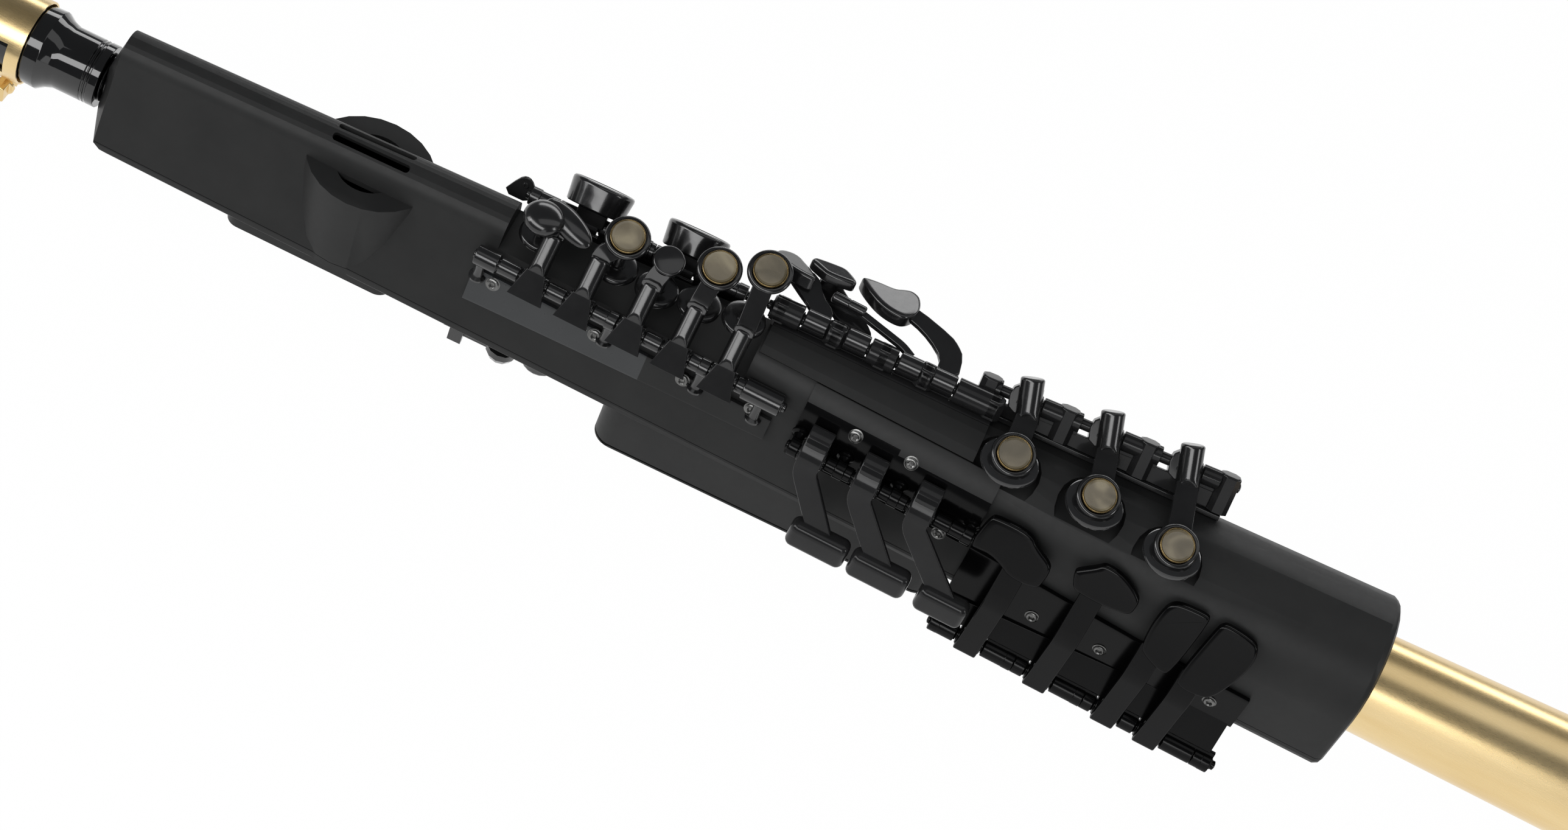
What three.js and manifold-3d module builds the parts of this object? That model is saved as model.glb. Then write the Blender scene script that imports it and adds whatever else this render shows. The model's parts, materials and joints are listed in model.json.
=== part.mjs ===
// A digital wind controller shaped like a straight saxophone, in millimetres.
// X runs from the mouthpiece to the bell, +Z is the front with the keys, -Y is the player's right.
import * as THREE from 'three';
import { mergeVertices } from 'three/addons/utils/BufferGeometryUtils.js';
import Module from 'manifold-3d';

const wasm = await Module();
wasm.setup();

// Shared sizes
const gap = 0.3;
const runningGap = 0.4;
const overrun = 2;
const farOff = 400;
const fullTurn = 2 * Math.PI;
const quarterTurn = Math.PI / 2;
const roundSides = 12;
const smallSides = 6;
const fineSides = 24;
const cupTaper = 1;

// The casing: a rounded crown whose flat sides flare to a rear edge, growing towards the bell
const casing = {
  start: 7, end: 571, wall: 2.6, cornerRadius: 4, neckRadius: 12, noseLength: 5,
  crownSteps: 12, cornerSteps: 3, lip: 3.5, lipInset: 1.2, lipEndInset: 3.4, seamRise: 6,
  noseFloor: 11, noseCut: { x: 27, z: -32 },
};
const casingStations = [
  { x: 7, crownRadius: 9.5, crownTop: 29.6, rearHalf: 22.2, rearDepth: 20.5 },
  { x: 178, crownRadius: 10.8, crownTop: 35.5, rearHalf: 25.2, rearDepth: 22.3 },
  { x: 480, crownRadius: 30.5, crownTop: 36.4, rearHalf: 30.4, rearDepth: 25.5 },
  { x: 571, crownRadius: 32, crownTop: 39.2, rearHalf: 32.1, rearDepth: 26.5 },
];
const stationStep = 36;
const pearlEdgeShare = 0.86;
const pearlDishShare = 0.4;
const stemShare = 0.8;
const stemLift = 0.1;
const domeShoulderShare = 0.8;
const ringCornerSteps = 4;

// Speaker wings on both sides, with a half-moon vent in each and two slots in the crown between
const wing = {
  x: 116, radius: 27.9, reach: 24.9, top: 22.7, foot: 2, ventWide: 20, ventDeep: 4.6, ventEdge: 11.4,
  ventFullShare: 0.6, ventSteps: 6, sides: 26,
};
const crownSlot = { x: 115.5, length: 34, width: 3.6, lean: 19, depth: 7, steps: 3 };

// The sunk bed under the left-hand keys, and the round recesses under the right-hand pearls
const bed = { start: 178, end: 290, z: 23, wallBelow: 2.6 };
const recess = { radius: 14.5, floor: 29.5, sides: 20 };

// Key metalwork shared by all rows
const rod = {
  radius: 2.4, hubRadius: 4.2, sides: 8, hubSides: 10, postRadius: 3.8, postSides: 8, postWide: 4,
  stemRadius: 2, railThick: 2.4,
};
const strap = { thick: 2.4, wide: 9 };
const plate = { thick: 2, arcSteps: 4 };
const pearl = {
  radius: 7.3, rise: 1.1, ringRadius: 9.4, ringDepth: 4.6, seatDepth: 1.6, tilt: 22, sides: 18,
};

// Left-hand stack: five keys that cross the near edge on slanted barrels
const leftRow = { start: [172, -19.2, 23], end: [309, -22.6, 23.4], posts: [174.5, 229.5, 271.5, 300] };
const leftPlate = { start: 172, end: 307, top: [12, 12], foot: [-3, 1.6] };
const leftKeys = [
  { x: 197.2, shape: 'dome', across: -6.5, y: 12, z: 24 },
  { x: 217.8, shape: 'pearl', across: 5.8, y: 20.5, z: 27 },
  { x: 240.8, shape: 'button', across: 1.6, y: 20.5, z: 25.5 },
  { x: 261, shape: 'pearl', across: 0.8, y: 26, z: 29, cupAcross: -0.6 },
  { x: 282, shape: 'pearl', across: -1.6, y: 33, z: 33, cupAcross: -2.6 },
];
const leftKey = {
  wide: 11, footWide: 15, lift: 4.6, foot: -8, neck: 5, barrelRadius: 4, barrelTop: 21, armWide: 7.6,
  domeRadius: 8.6, domeShare: 0.6, domeSides: [16, 10], buttonRadius: 6.6, stemRadius: 2.6,
  leaf: { at: [2.8, 16, 23], long: 13, wide: 5.6, thick: 3.6, turn: 23 }, leafSides: [14, 8],
  cupRadius: 9.2, cupSides: 14, cupDrop: 16, cupThick: 3, cupY: 19,
};

// Right-hand stack: three keys hinged on the far side, reaching to pearls in their recesses
const rightRow = {
  start: [378, 19, 42.4], end: [489, 26, 43.6], posts: [380.5, 414.5, 449.5, 485], rail: true,
};
const rightPlate = { start: 379, end: 488, from: 28, foot: [12, 8] };
const rightKeys = [
  { x: 19.8, across: 0.6, reach: 30, drop: 2 },
  { x: 55, across: 3, reach: 33, drop: 2.4 },
  { x: 90, across: 3.6, reach: 41, drop: 3 },
];
const rightKey = {
  wide: 10, barrelRadius: 4, barrelHigh: 14, barrelSlide: -3.7, lean: 20, discRadius: 12.4, discThick: 2.2, discDrop: 5,
  ringDepth: 6,
  seat: 3.4, armRoot: 6, armCrest: 7.4, armThick: 2.8, armInset: 0.4, armEnd: 2.6,
};

// Table keys for the left little finger. Each touch is an outline on a plane that tips outwards, about a
// point measured from the hub; each arm is an outline seen from above, on a plane that slopes from the hub.
const tableRow = {
  start: [287, 8.4, 41.1], end: [388, 10.6, 41.3], posts: [291.6, 315.5, 336.5, 355.5, 385], rail: true,
};
const tablePlate = { start: 291, end: 387, from: 7, to: 26 };
const tableKey = {
  wide: 10, thick: 4.6, armThick: 2.4, postLong: 7, postWide: 5,
  cover: [[-3.4, 2.6], [-2.4, 4.4], [0, 5.1], [2.4, 4.4], [4.2, 2], [4.4, -1], [2.6, -3.6], [-2.6, -2.4]],
};
const tableKeys = [
  {
    x: 19.5, touch: [-16.8, 20.5, 7.5], tilt: 27, thick: 6,
    outline: [
      [-9.8, 1.8], [-9.4, 4.6], [-7.7, 6.7], [-5, 8], [-2.2, 8.2], [0.6, 6.6], [2.8, 3.6], [5.8, 0],
      [8.3, -4.3],
      [9.7, -8.5], [7.4, -9.5], [0.8, -8.3], [-4.6, -5.5], [-8.2, -3.2],
    ],
    arm: {
      z: 1.6, slope: 7,
      outline: [
        [-4.8, 2], [4.8, 2], [4.8, 7], [-2, 12], [-5, 18], [-10, 21], [-20, 21], [-21, 16], [-12, 9],
        [-4.8, 4],
      ],
    },
  },
  {
    x: 37.6, touch: [-20.1, 23.7, 8.9], tilt: 20, post: true,
    outline: [
      [-9.8, 3], [-8.6, 4.2], [1.5, 5.9], [4, 5.7], [6.1, 4.4], [10.1, 0.1], [10.3, -2.5], [8.6, -3.8],
      [-1.9, -5.2],
      [-5.6, -2.8], [-10.2, 0.3],
    ],
    arm: {
      z: -1.6, slope: 0,
      outline: [
        [-4.8, 2], [4.8, 2], [4.8, 7], [1, 12], [-12, 22], [-15, 26], [-24, 26], [-24, 21], [-15, 10],
        [-4.8, 4],
      ],
    },
  },
  {
    x: 61,
    roller: { from: [-25, 12.8, 5], to: [-40, 13.8, 5], radius: 2.4, armFrom: [-1, 3, 3], armWide: 3.4 },
  },
  {
    x: 76, touch: [-33.5, 21.7, 8.8], tilt: 12, thick: 6,
    outline: [
      [-13.7, 6.4], [-12.2, 7.8], [-6.1, 8.8], [0.7, 8.9], [4.1, 11.3], [7.3, 12.7], [10.5, 11.5],
      [12.1, 9.2],
      [13.3, 4.1], [12.7, -1.2], [10.2, -5.5], [7.1, -7.3], [1.3, -6.6], [-4.4, -3.8], [-10.8, 2],
    ],
    arm: {
      z: 2, slope: 7.5,
      outline: [
        [-4.8, 2], [4.8, 2], [3.4, 13], [0, 17], [-4.2, 20], [-20, 25.2], [-26, 25.2], [-26, 19], [-20, 18],
        [-12, 14], [-5, 8],
      ],
    },
  },
];

// Side keys for the right hand: a hump over the rod, and a strap that slants towards the bell to its touch
const sideRow = { start: [318, -31, 14], end: [400, -33, 13.5], posts: [320, 340.5, 365, 398] };
const sidePlateSize = { start: 317, end: 401, from: 34, foot: [1, 1] };
const sideKeys = [
  { x: 10, slide: 18, long: 26 }, { x: 34.3, slide: 21.2, long: 26 }, { x: 59, slide: 25, long: 22 },
];
const sideKey = {
  wide: 11, strapWide: 10, out: 14, drop: 30, touchRadius: 5.4, touchFlat: 0.8, touchTall: 1.3,
  touchSides: [3, 10], strapSunk: 2,
  hump: [
    [4, 3], [6.6, 10.6], [5, 13], [1, 12.6], [-4.6, 6], [-8, -3], [-5.6, -3], [-3, 0], [0, -2], [4, 0],
  ],
  hang: [-7, -1.5],
};

// Low keys for the right little finger, on a plate that stands past the rear edge.
// Each pad is an outline on a leaning plane, measured from its hub and from the pads' middle height.
const lowRow = {
  start: [402, -38.2, -39.5], end: [532, -41.2, -42.2], posts: [404, 438, 470, 529], rail: true,
};
const lowPlate = { start: 402, end: 531, top: [2, -4], foot: [-39, -42] };
const lowKey = {
  wide: 11, strapWide: 10, padThick: 4, lean: 24, bend: 36, padMiddle: 50, padFace: -1.5, strapInset: 0.6,
  strapSlant: 1,
  hubOverlap: 0.4, rootTop: 3,
};
const lowKeys = [
  {
    x: 18, top: 56,
    pad: [
      [-20.6, 5.3], [-20.7, 9.5], [-18.9, 19.3], [-16.3, 20.8], [-1.5, 20.9], [3.6, 16.3], [10.7, 12.8],
      [12.5, 10.1],
      [11.9, 2], [10.2, 0.5], [4.6, -0.7], [-2, -0.2], [-6.1, 2.3], [-12.5, 4.6], [-19.3, 3.8],
    ],
  },
  {
    x: 50, top: 62,
    pad: [
      [-11.4, 14.9], [-10.3, 16.6], [-4.2, 21.4], [-1.8, 24.2], [7.3, 23.2], [16.4, 17.7], [17.3, 15],
      [16.9, 10.3],
      [14.9, 8.5], [4.2, 7.1], [-5.6, 7.3], [-9.1, 8.6],
    ],
  },
  {
    x: 81.5, top: 50,
    pad: [
      [-2.7, 22.3], [1.1, 24.1], [12.3, 24.7], [13.9, 22.9], [11, -7.3], [9.5, -8.1], [-2.5, -3.6],
      [-4.7, -0.4],
      [-5.4, 9.2], [-4.5, 18.5],
    ],
  },
  {
    x: 101, top: 48,
    pad: [
      [-1, 23.8], [2, 25.3], [14.2, 23.8], [17, 21], [18, 15], [15.9, 4.7], [11.3, -6.5], [6.9, -9.2],
      [-4.6, -9.3],
      [-6, -8.5], [-1.5, 21],
    ],
  },
];

// Palm keys on the far side
const palmRow = { start: [178, 21, 24], end: [276, 22.5, 24], posts: [180.5, 222, 230, 273.5] };
const palmPlate = { start: 179, end: 275, top: [16, 14], foot: [2, 2], lift: 0.5 };
const palmKeys = [{ x: 27 }, { x: 70 }];
const palmKey = {
  radius: 13.6, high: 11, tilt: 46, out: 3.5, rise: 9, armWide: 9, taper: 1, root: 3, armTop: 5, armRise: 1,
  sides: 28,
};

// Raised satin band on the crown between the table and side plates
const midBar = { start: 291, end: 387, from: -6, to: 33, sunk: 1, rise: 2.1 };

// Mouthpiece group, on the X axis
const neck = { radius: 10.8, tubeRadius: 8, bore: 5.5, tip: -22, end: 16, sides: 18 };
const mouth = {
  shankEnd: 0.4, shankRadius: 13.8, grooveX: [-3.9, -5.5], groove: 0.5, shoulderEnd: -18, shoulder: -25,
  bodyRadius: 17.3, waistShare: 1 / 3, beakStart: -64, tip: -90, tipHigh: 1.6, table: -11.5, bore: 8.3,
};
const reed = { heel: -33, tip: -88, half: 7.6, thick: 2.6, tipThick: 0.5 };
const ligature = {
  start: -61, end: -31.6, radius: 18.7, thick: 0.9, lugWide: 6, lugDrop: 6.5, lugGap: 5, screwX: [-39, -54],
  sides: 28,
};
const screw = { radius: 1.5, head: 4.2, headLong: 7, length: 17 };

// Bell
const bell = {
  tuck: 25, long: 189, coneShare: 0.6243, startRadius: 21.2, coneRadius: 23.9,
  wall: 1, flareSteps: 7, flarePower: 2.7, rim: 1.6, sides: 36,
};
bell.inner = casing.end - bell.tuck;
bell.mouth = bell.inner + bell.long;
bell.coneEnd = bell.inner + bell.long * bell.coneShare;

// Battery housing on the back, closed by its cover, which the instrument lies on
const housing = {
  start: 241, end: 398, half: 22, corner: 9, wall: 2.4, room: 6.97, coverThick: 2.2, edge: 2.4, edgeRise: 1,
};
const cell = { radius: 7.1, length: 50, y: 7.4, x: [290, 344], inset: 1 };
housing.foot = housing.wall + housing.room + 2 * cell.radius + gap + housing.coverThick - backZ(housing.end);

// Control panel on the back, with three buttons and a dial
const panel = { start: 67, end: 141.5, half: 20.5, thick: 6.4, corner: 6, edge: 1.6, edgeRise: 1.2 };
const button = { x: [78, 89, 100], radius: 3.4, deep: 4, proud: 1.4, travel: 0.8 };
const dial = { x: 122, radius: 9, deep: 3, proud: 3.2, ribs: 16, ribDepth: 0.5, sides: 24 };

// Left thumb: a rest and the octave key beside it
const thumbRest = { x: 210, y: -13.6, radius: 8.4, high: 5.6, dish: 1.2, sides: 20 };
const octave = {
  pivotX: 174, touchX: 193.4, y: -14.6, pinZ: 28.6, pinRadius: 1.6, hubRadius: 3.2, hubWide: 8,
  touchRadius: 7,
  touchHigh: 6.4, leverWide: 7, leverThick: 2.4, earThick: 2.4, earWide: 6, baseLong: 12, baseThick: 1.6,
};

// Strap ring and thumb hook
const strapEye = { x: 228, radius: 4.6, half: 2, drop: 5.4, hole: 2.6, ring: 7.5, wire: 1.5, sides: 16 };
const hook = { baseHalf: 9, half: 7.5, thick: 3, high: 13, curl: 7, arcSteps: 6, sweep: 1.2 };
const hookPad = { x: 430, half: 17, wide: 10, thick: 2, corner: 4 };
const jack = { x: 500, half: 21, wide: 8.5, thick: 1.6, corner: 4, holes: [-13, -3, 9], radius: 3.2 };

// Inner pieces
const board = { start: 404, tail: 26, half: 19, thick: 1.6, z: -8, postRadius: 3, postInset: 6 };
board.end = bell.inner - board.tail;
const driver = { radius: 15.4, deep: 4, magnet: 9, magnetDeep: 5, plate: 1, rim: 2, z: 1, sides: 16 };
const exciter = { radius: 14, deep: 6, cap: 9, capDeep: 3, sides: 20 };
const sensor = { long: 14, half: 8, high: 7 };

// Finishes
const finishes = {
  satin: new THREE.MeshStandardMaterial({ color: 0x1b1c1d, roughness: 0.55, metalness: 0 }),
  gloss: new THREE.MeshStandardMaterial({ color: 0x0b0b0c, roughness: 0.12, metalness: 0 }),
  keyMetal: new THREE.MeshStandardMaterial({ color: 0x101112, roughness: 0.18, metalness: 0.6 }),
  brass: new THREE.MeshStandardMaterial({ color: 0xc9a45a, roughness: 0.16, metalness: 1 }),
  pearl: new THREE.MeshStandardMaterial({ color: 0xa79c82, roughness: 0.25, metalness: 0 }),
  cane: new THREE.MeshStandardMaterial({ color: 0xc9a86a, roughness: 0.6, metalness: 0 }),
  green: new THREE.MeshStandardMaterial({ color: 0x1f4a2c, roughness: 0.5, metalness: 0 }),
  steel: new THREE.MeshStandardMaterial({ color: 0x8d9094, roughness: 0.3, metalness: 1 }),
  wrap: new THREE.MeshStandardMaterial({ color: 0x2b4c7a, roughness: 0.4, metalness: 0 }),
};

// Turning geometry into solids and back
function toSolid(geometry) {
  const plain = geometry.index ? geometry.toNonIndexed() : geometry.clone();
  plain.deleteAttribute('normal');
  plain.deleteAttribute('uv');
  const merged = mergeVertices(plain, 1e-4);
  const vertProperties = new Float32Array(merged.attributes.position.array);
  const triVerts = new Uint32Array(merged.index.array);
  return new wasm.Manifold(new wasm.Mesh({ numProp: 3, vertProperties, triVerts }));
}

function toGeometry(solid) {
  const mesh = solid.getMesh();
  const geometry = new THREE.BufferGeometry();
  geometry.setAttribute('position', new THREE.BufferAttribute(new Float32Array(mesh.vertProperties), 3));
  geometry.setIndex(new THREE.BufferAttribute(new Uint32Array(mesh.triVerts), 1));
  geometry.computeVertexNormals();
  return geometry;
}

function join(...solids) {
  return solids.reduce((whole, piece) => whole.add(piece));
}

function cut(solid, ...tools) {
  return tools.reduce((whole, tool) => whole.subtract(tool), solid);
}

// Basic forms, each placed where it belongs
function box(low, high) {
  const size = new THREE.Vector3(...high).sub(new THREE.Vector3(...low));
  const middle = new THREE.Vector3(...low).add(new THREE.Vector3(...high)).multiplyScalar(0.5);
  return toSolid(new THREE.BoxGeometry(size.x, size.y, size.z).translate(middle.x, middle.y, middle.z));
}

function along(geometry, from, to) {
  const start = new THREE.Vector3(...from);
  const way = new THREE.Vector3(...to).sub(start);
  geometry.applyQuaternion(new THREE.Quaternion().setFromUnitVectors(
    new THREE.Vector3(0, 1, 0), way.clone().normalize(),
  ));
  const middle = start.add(way.multiplyScalar(0.5));
  return geometry.translate(middle.x, middle.y, middle.z);
}

function cone(fromRadius, toRadius, from, to, sides = roundSides) {
  const length = new THREE.Vector3(...to).distanceTo(new THREE.Vector3(...from));
  return toSolid(along(new THREE.CylinderGeometry(toRadius, fromRadius, length, sides), from, to));
}

function cylinder(radius, from, to, sides = roundSides) {
  return cone(radius, radius, from, to, sides);
}

function turned(profile, from, to, sides = roundSides) {
  const points = profile.map(([radius, height]) => new THREE.Vector2(radius, height));
  const geometry = new THREE.LatheGeometry(points, sides);
  const start = new THREE.Vector3(...from);
  const way = new THREE.Vector3(...to).sub(start).normalize();
  geometry.applyQuaternion(new THREE.Quaternion().setFromUnitVectors(new THREE.Vector3(0, 1, 0), way));
  return toSolid(geometry.translate(start.x, start.y, start.z));
}

// A flat outline given along two directions and thickened along the third
function slab(points, thickness, origin, across, upward) {
  const shape = new THREE.Shape(points.map(([a, b]) => new THREE.Vector2(a, b)));
  return placedShape(shape, thickness, origin, across, upward);
}

function placedShape(shape, thickness, origin, across, upward, curveSegments = 4) {
  const geometry = new THREE.ExtrudeGeometry(
    shape, { depth: thickness, bevelEnabled: false, curveSegments },
  );
  const first = new THREE.Vector3(...across).normalize();
  const second = new THREE.Vector3(...upward).normalize();
  const third = new THREE.Vector3().crossVectors(first, second);
  geometry.applyMatrix4(new THREE.Matrix4().makeBasis(first, second, third));
  return toSolid(geometry.translate(...origin));
}

// An outline in Y and Z carried along X
function barX(points, start, end) {
  return slab(points, end - start, [start, 0, 0], [0, 1, 0], [0, 0, 1]);
}

function roundedShape(halfLong, halfWide, radius, x = 0, y = 0) {
  const shape = new THREE.Shape();
  const left = x - halfLong;
  const right = x + halfLong;
  const low = y - halfWide;
  const high = y + halfWide;
  shape.moveTo(left + radius, low);
  shape.lineTo(right - radius, low);
  shape.absarc(right - radius, low + radius, radius, -quarterTurn, 0);
  shape.lineTo(right, high - radius);
  shape.absarc(right - radius, high - radius, radius, 0, quarterTurn);
  shape.lineTo(left + radius, high);
  shape.absarc(left + radius, high - radius, radius, quarterTurn, Math.PI);
  shape.lineTo(left, low + radius);
  shape.absarc(left + radius, low + radius, radius, Math.PI, 3 * quarterTurn);
  return shape;
}

// A closed skin through rings of equal count, capped flat at both ends
function loft(rings) {
  const count = rings[0].length;
  const positions = rings.flat(2);
  const index = [];
  for (let ring = 0; ring < rings.length - 1; ring += 1) {
    for (let step = 0; step < count; step += 1) {
      const here = ring * count + step;
      const next = ring * count + (step + 1) % count;
      index.push(here, next, next + count, here, next + count, here + count);
    }
  }
  const last = (rings.length - 1) * count;
  for (let step = 1; step < count - 1; step += 1) {
    index.push(0, step + 1, step);
    index.push(last, last + step, last + step + 1);
  }
  const geometry = new THREE.BufferGeometry();
  geometry.setAttribute('position', new THREE.Float32BufferAttribute(positions, 3));
  geometry.setIndex(index);
  return toSolid(geometry);
}

// The casing's section at one place along X
function stationAt(x) {
  let upper = 1;
  while (upper < casingStations.length - 1 && casingStations[upper].x < x) upper += 1;
  const before = casingStations[upper - 1];
  const after = casingStations[upper];
  const share = (x - before.x) / (after.x - before.x);
  const mix = (key) => before[key] + (after[key] - before[key]) * share;
  const crownRadius = mix('crownRadius');
  const crownZ = mix('crownTop') - crownRadius;
  const cornerY = mix('rearHalf') - casing.cornerRadius;
  const cornerZ = casing.cornerRadius - mix('rearDepth');
  const span = Math.hypot(cornerY, cornerZ - crownZ);
  const bias = Math.acos((crownRadius - casing.cornerRadius) / span);
  const flare = Math.atan2(cornerZ - crownZ, cornerY) + bias;
  return {
    crownRadius, crownZ, cornerY, cornerZ, flare, rearDepth: mix('rearDepth'), rearHalf: mix('rearHalf'),
  };
}

function arc(x, y, z, radius, from, to, steps) {
  const points = [];
  for (let step = 0; step <= steps; step += 1) {
    const angle = from + ((to - from) * step) / steps;
    points.push([x, y + radius * Math.cos(angle), z + radius * Math.sin(angle)]);
  }
  return points;
}

function section(x, inset) {
  const at = stationAt(x);
  const crown = at.crownRadius - inset;
  const corner = casing.cornerRadius - inset;
  return [
    ...arc(x, 0, at.crownZ, crown, at.flare, Math.PI - at.flare, casing.crownSteps),
    ...arc(x, -at.cornerY, at.cornerZ, corner, Math.PI - at.flare, 3 * quarterTurn, casing.cornerSteps),
    ...arc(x, at.cornerY, at.cornerZ, corner, 3 * quarterTurn, fullTurn + at.flare, casing.cornerSteps),
  ];
}

function places(start, end) {
  const breaks = casingStations.map((station) => station.x).filter((x) => x > start && x < end);
  const stops = [start, ...breaks, end];
  return stops.slice(1).flatMap((stop, index) => {
    const from = stops[index];
    const steps = Math.ceil((stop - from) / stationStep);
    const first = index === 0 ? 0 : 1;
    return Array.from(
      { length: steps + 1 - first }, (_, step) => from + ((stop - from) * (step + first)) / steps,
    );
  });
}

// A point on the casing's flat side: side is -1 near and 1 far, along runs rearward, out leaves the surface
function sidePoint(x, side, down, out) {
  const at = stationAt(x);
  const reach = at.crownRadius + out;
  const y = reach * Math.cos(at.flare) + down * Math.sin(at.flare);
  const z = at.crownZ + reach * Math.sin(at.flare) - down * Math.cos(at.flare);
  return [x, side * y, z];
}

// A plate on one flat side, its edges given by their heights at both ends
function sidePlate(side, size) {
  const rings = places(size.start, size.end).map((x) => {
    const share = (x - size.start) / (size.end - size.start);
    const drop = (heights) => downTo(x, heights[0] + (heights[1] - heights[0]) * share);
    const top = drop(size.top);
    const foot = drop(size.foot);
    const lift = size.lift ?? gap;
    const ring = [
      sidePoint(x, side, top, lift),
      sidePoint(x, side, top, lift + plate.thick),
      sidePoint(x, side, foot, lift + plate.thick),
      sidePoint(x, side, foot, lift),
    ];
    return side < 0 ? ring : ring.reverse();
  });
  return loft(rings);
}

function downTo(x, z) {
  const at = stationAt(x);
  return (at.crownZ + at.crownRadius * Math.sin(at.flare) - z) / Math.cos(at.flare);
}

// A skin over the crown from one angle off the top to another, or on down the flat side to a height
function crownSkin(side, size, thick, lift = gap) {
  const rings = places(size.start, size.end).map((x) => {
    const at = stationAt(x);
    const share = (x - size.start) / (size.end - size.start);
    const first = quarterTurn - side * THREE.MathUtils.degToRad(size.from);
    const crownEnd = side < 0 ? Math.PI - at.flare : at.flare;
    const last = size.foot ? crownEnd : quarterTurn - side * THREE.MathUtils.degToRad(size.to);
    const outer = arc(x, 0, at.crownZ, at.crownRadius + lift + thick, first, last, plate.arcSteps);
    const inner = arc(x, 0, at.crownZ, at.crownRadius + lift, first, last, plate.arcSteps);
    if (size.foot) {
      const foot = downTo(x, size.foot[0] + (size.foot[1] - size.foot[0]) * share);
      outer.push(sidePoint(x, side, foot, lift + thick));
      inner.push(sidePoint(x, side, foot, lift));
    }
    const ring = [...outer, ...inner.reverse()];
    return side < 0 ? ring : ring.reverse();
  });
  return loft(rings);
}

function noseRing(radius, x) {
  return section(casing.start, 0).map(([, y, z]) => {
    const angle = Math.atan2(z, y);
    return [x, radius * Math.cos(angle), radius * Math.sin(angle)];
  });
}

function casingBody() {
  const lipStart = casing.end - casing.lip;
  const lipMiddle = casing.end - casing.lipInset;
  return loft([
    noseRing(casing.neckRadius, casing.start - casing.noseLength),
    ...places(casing.start, lipStart).map((x) => section(x, 0)),
    section(lipMiddle, casing.lipInset),
    section(casing.end, casing.lipEndInset),
  ]);
}

function casingHollow() {
  const first = casing.start + casing.wall;
  const last = casing.end - casing.lip;
  return loft(places(first, last).map((x) => section(x, casing.wall)));
}

function wingBody(side, inset) {
  const middle = side * (wing.reach - wing.radius);
  const low = -stationAt(wing.x).rearDepth + wing.foot + inset;
  const round = cylinder(
    wing.radius - inset, [wing.x, middle, low], [wing.x, middle, wing.top - inset], wing.sides,
  );
  const half = side < 0
    ? box([0, -farOff, -farOff], [farOff, 0, farOff])
    : box([0, 0, -farOff], [farOff, farOff, farOff]);
  return round.intersect(half);
}

function wingVent(side) {
  const shape = new THREE.Shape();
  const half = wing.ventWide / 2;
  shape.moveTo(-half, 0);
  shape.lineTo(half, 0);
  shape.quadraticCurveTo(half * wing.ventFullShare, wing.ventDeep, 0, wing.ventDeep);
  shape.quadraticCurveTo(-half * wing.ventFullShare, wing.ventDeep, -half, 0);
  const deep = casing.wall + 2 * overrun;
  return placedShape(shape, deep, [
    wing.x, side * wing.ventEdge, wing.top + (side < 0 ? overrun : -deep + overrun),
  ],
    [1, 0, 0], [0, side, 0], wing.ventSteps);
}

function crownSlotTool(side) {
  const lean = THREE.MathUtils.degToRad(crownSlot.lean);
  const at = stationAt(crownSlot.x);
  const outward = [0, side * Math.sin(lean), Math.cos(lean)];
  const across = [0, Math.cos(lean), -side * Math.sin(lean)];
  const reach = at.crownRadius - crownSlot.depth;
  const origin = [crownSlot.x, outward[1] * reach, at.crownZ + outward[2] * reach];
  const shape = roundedShape(crownSlot.length / 2, crownSlot.width / 2, crownSlot.width / 2 - gap);
  return placedShape(shape, crownSlot.depth + overrun, origin, [1, 0, 0], across, crownSlot.steps);
}

function seamTool(shift) {
  const rise = (x) => -stationAt(x).rearDepth + casing.seamRise + shift;
  const outline = [
    [0, rise(casing.start)], [casing.end + overrun, rise(casing.end)],
    [casing.end + overrun, farOff], [0, farOff],
  ];
  return slab(outline, 2 * farOff, [0, farOff, 0], [1, 0, 0], [0, 0, 1]);
}

function noseTool() {
  const front = casing.start - casing.noseLength - overrun;
  const slope = (casing.noseCut.z + casing.noseFloor) / (casing.noseCut.x - casing.start + casing.noseLength);
  const at = (x) => -casing.noseFloor + slope * (x - casing.start + casing.noseLength);
  const far = casing.noseCut.x + overrun;
  const outline = [[front, at(front)], [front, -farOff], [far, -farOff], [far, at(far)]];
  return slab(outline, 2 * farOff, [0, farOff, 0], [1, 0, 0], [0, 0, 1]);
}

function recessTool(extra) {
  return rightKeys.map((key) => {
    const [x, y] = rightTouch(key);
    return cylinder(recess.radius + extra, [x, y, recess.floor - extra], [x, y, farOff], recess.sides);
  });
}

// Where a right-hand pearl lies, in the shared frame
function rightTouch(key) {
  const yaw = Math.atan2(rightRow.end[1] - rightRow.start[1], rightRow.end[0] - rightRow.start[0]);
  const along = key.x + key.across;
  const x = rightRow.start[0] + along * Math.cos(yaw) + key.reach * Math.sin(yaw);
  const y = rightRow.start[1] + along * Math.sin(yaw) - key.reach * Math.cos(yaw);
  return [x, y];
}

function boardPosts() {
  const xs = [board.start + board.postInset, board.end - board.postInset];
  const ys = [-board.half + board.postInset, board.half - board.postInset];
  return xs.flatMap((x) => ys.map((y) => {
    const floor = casing.wall / 2 - stationAt(x).rearDepth;
    return cylinder(board.postRadius, [x, y, floor], [x, y, board.z - gap], smallSides);
  }));
}

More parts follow.
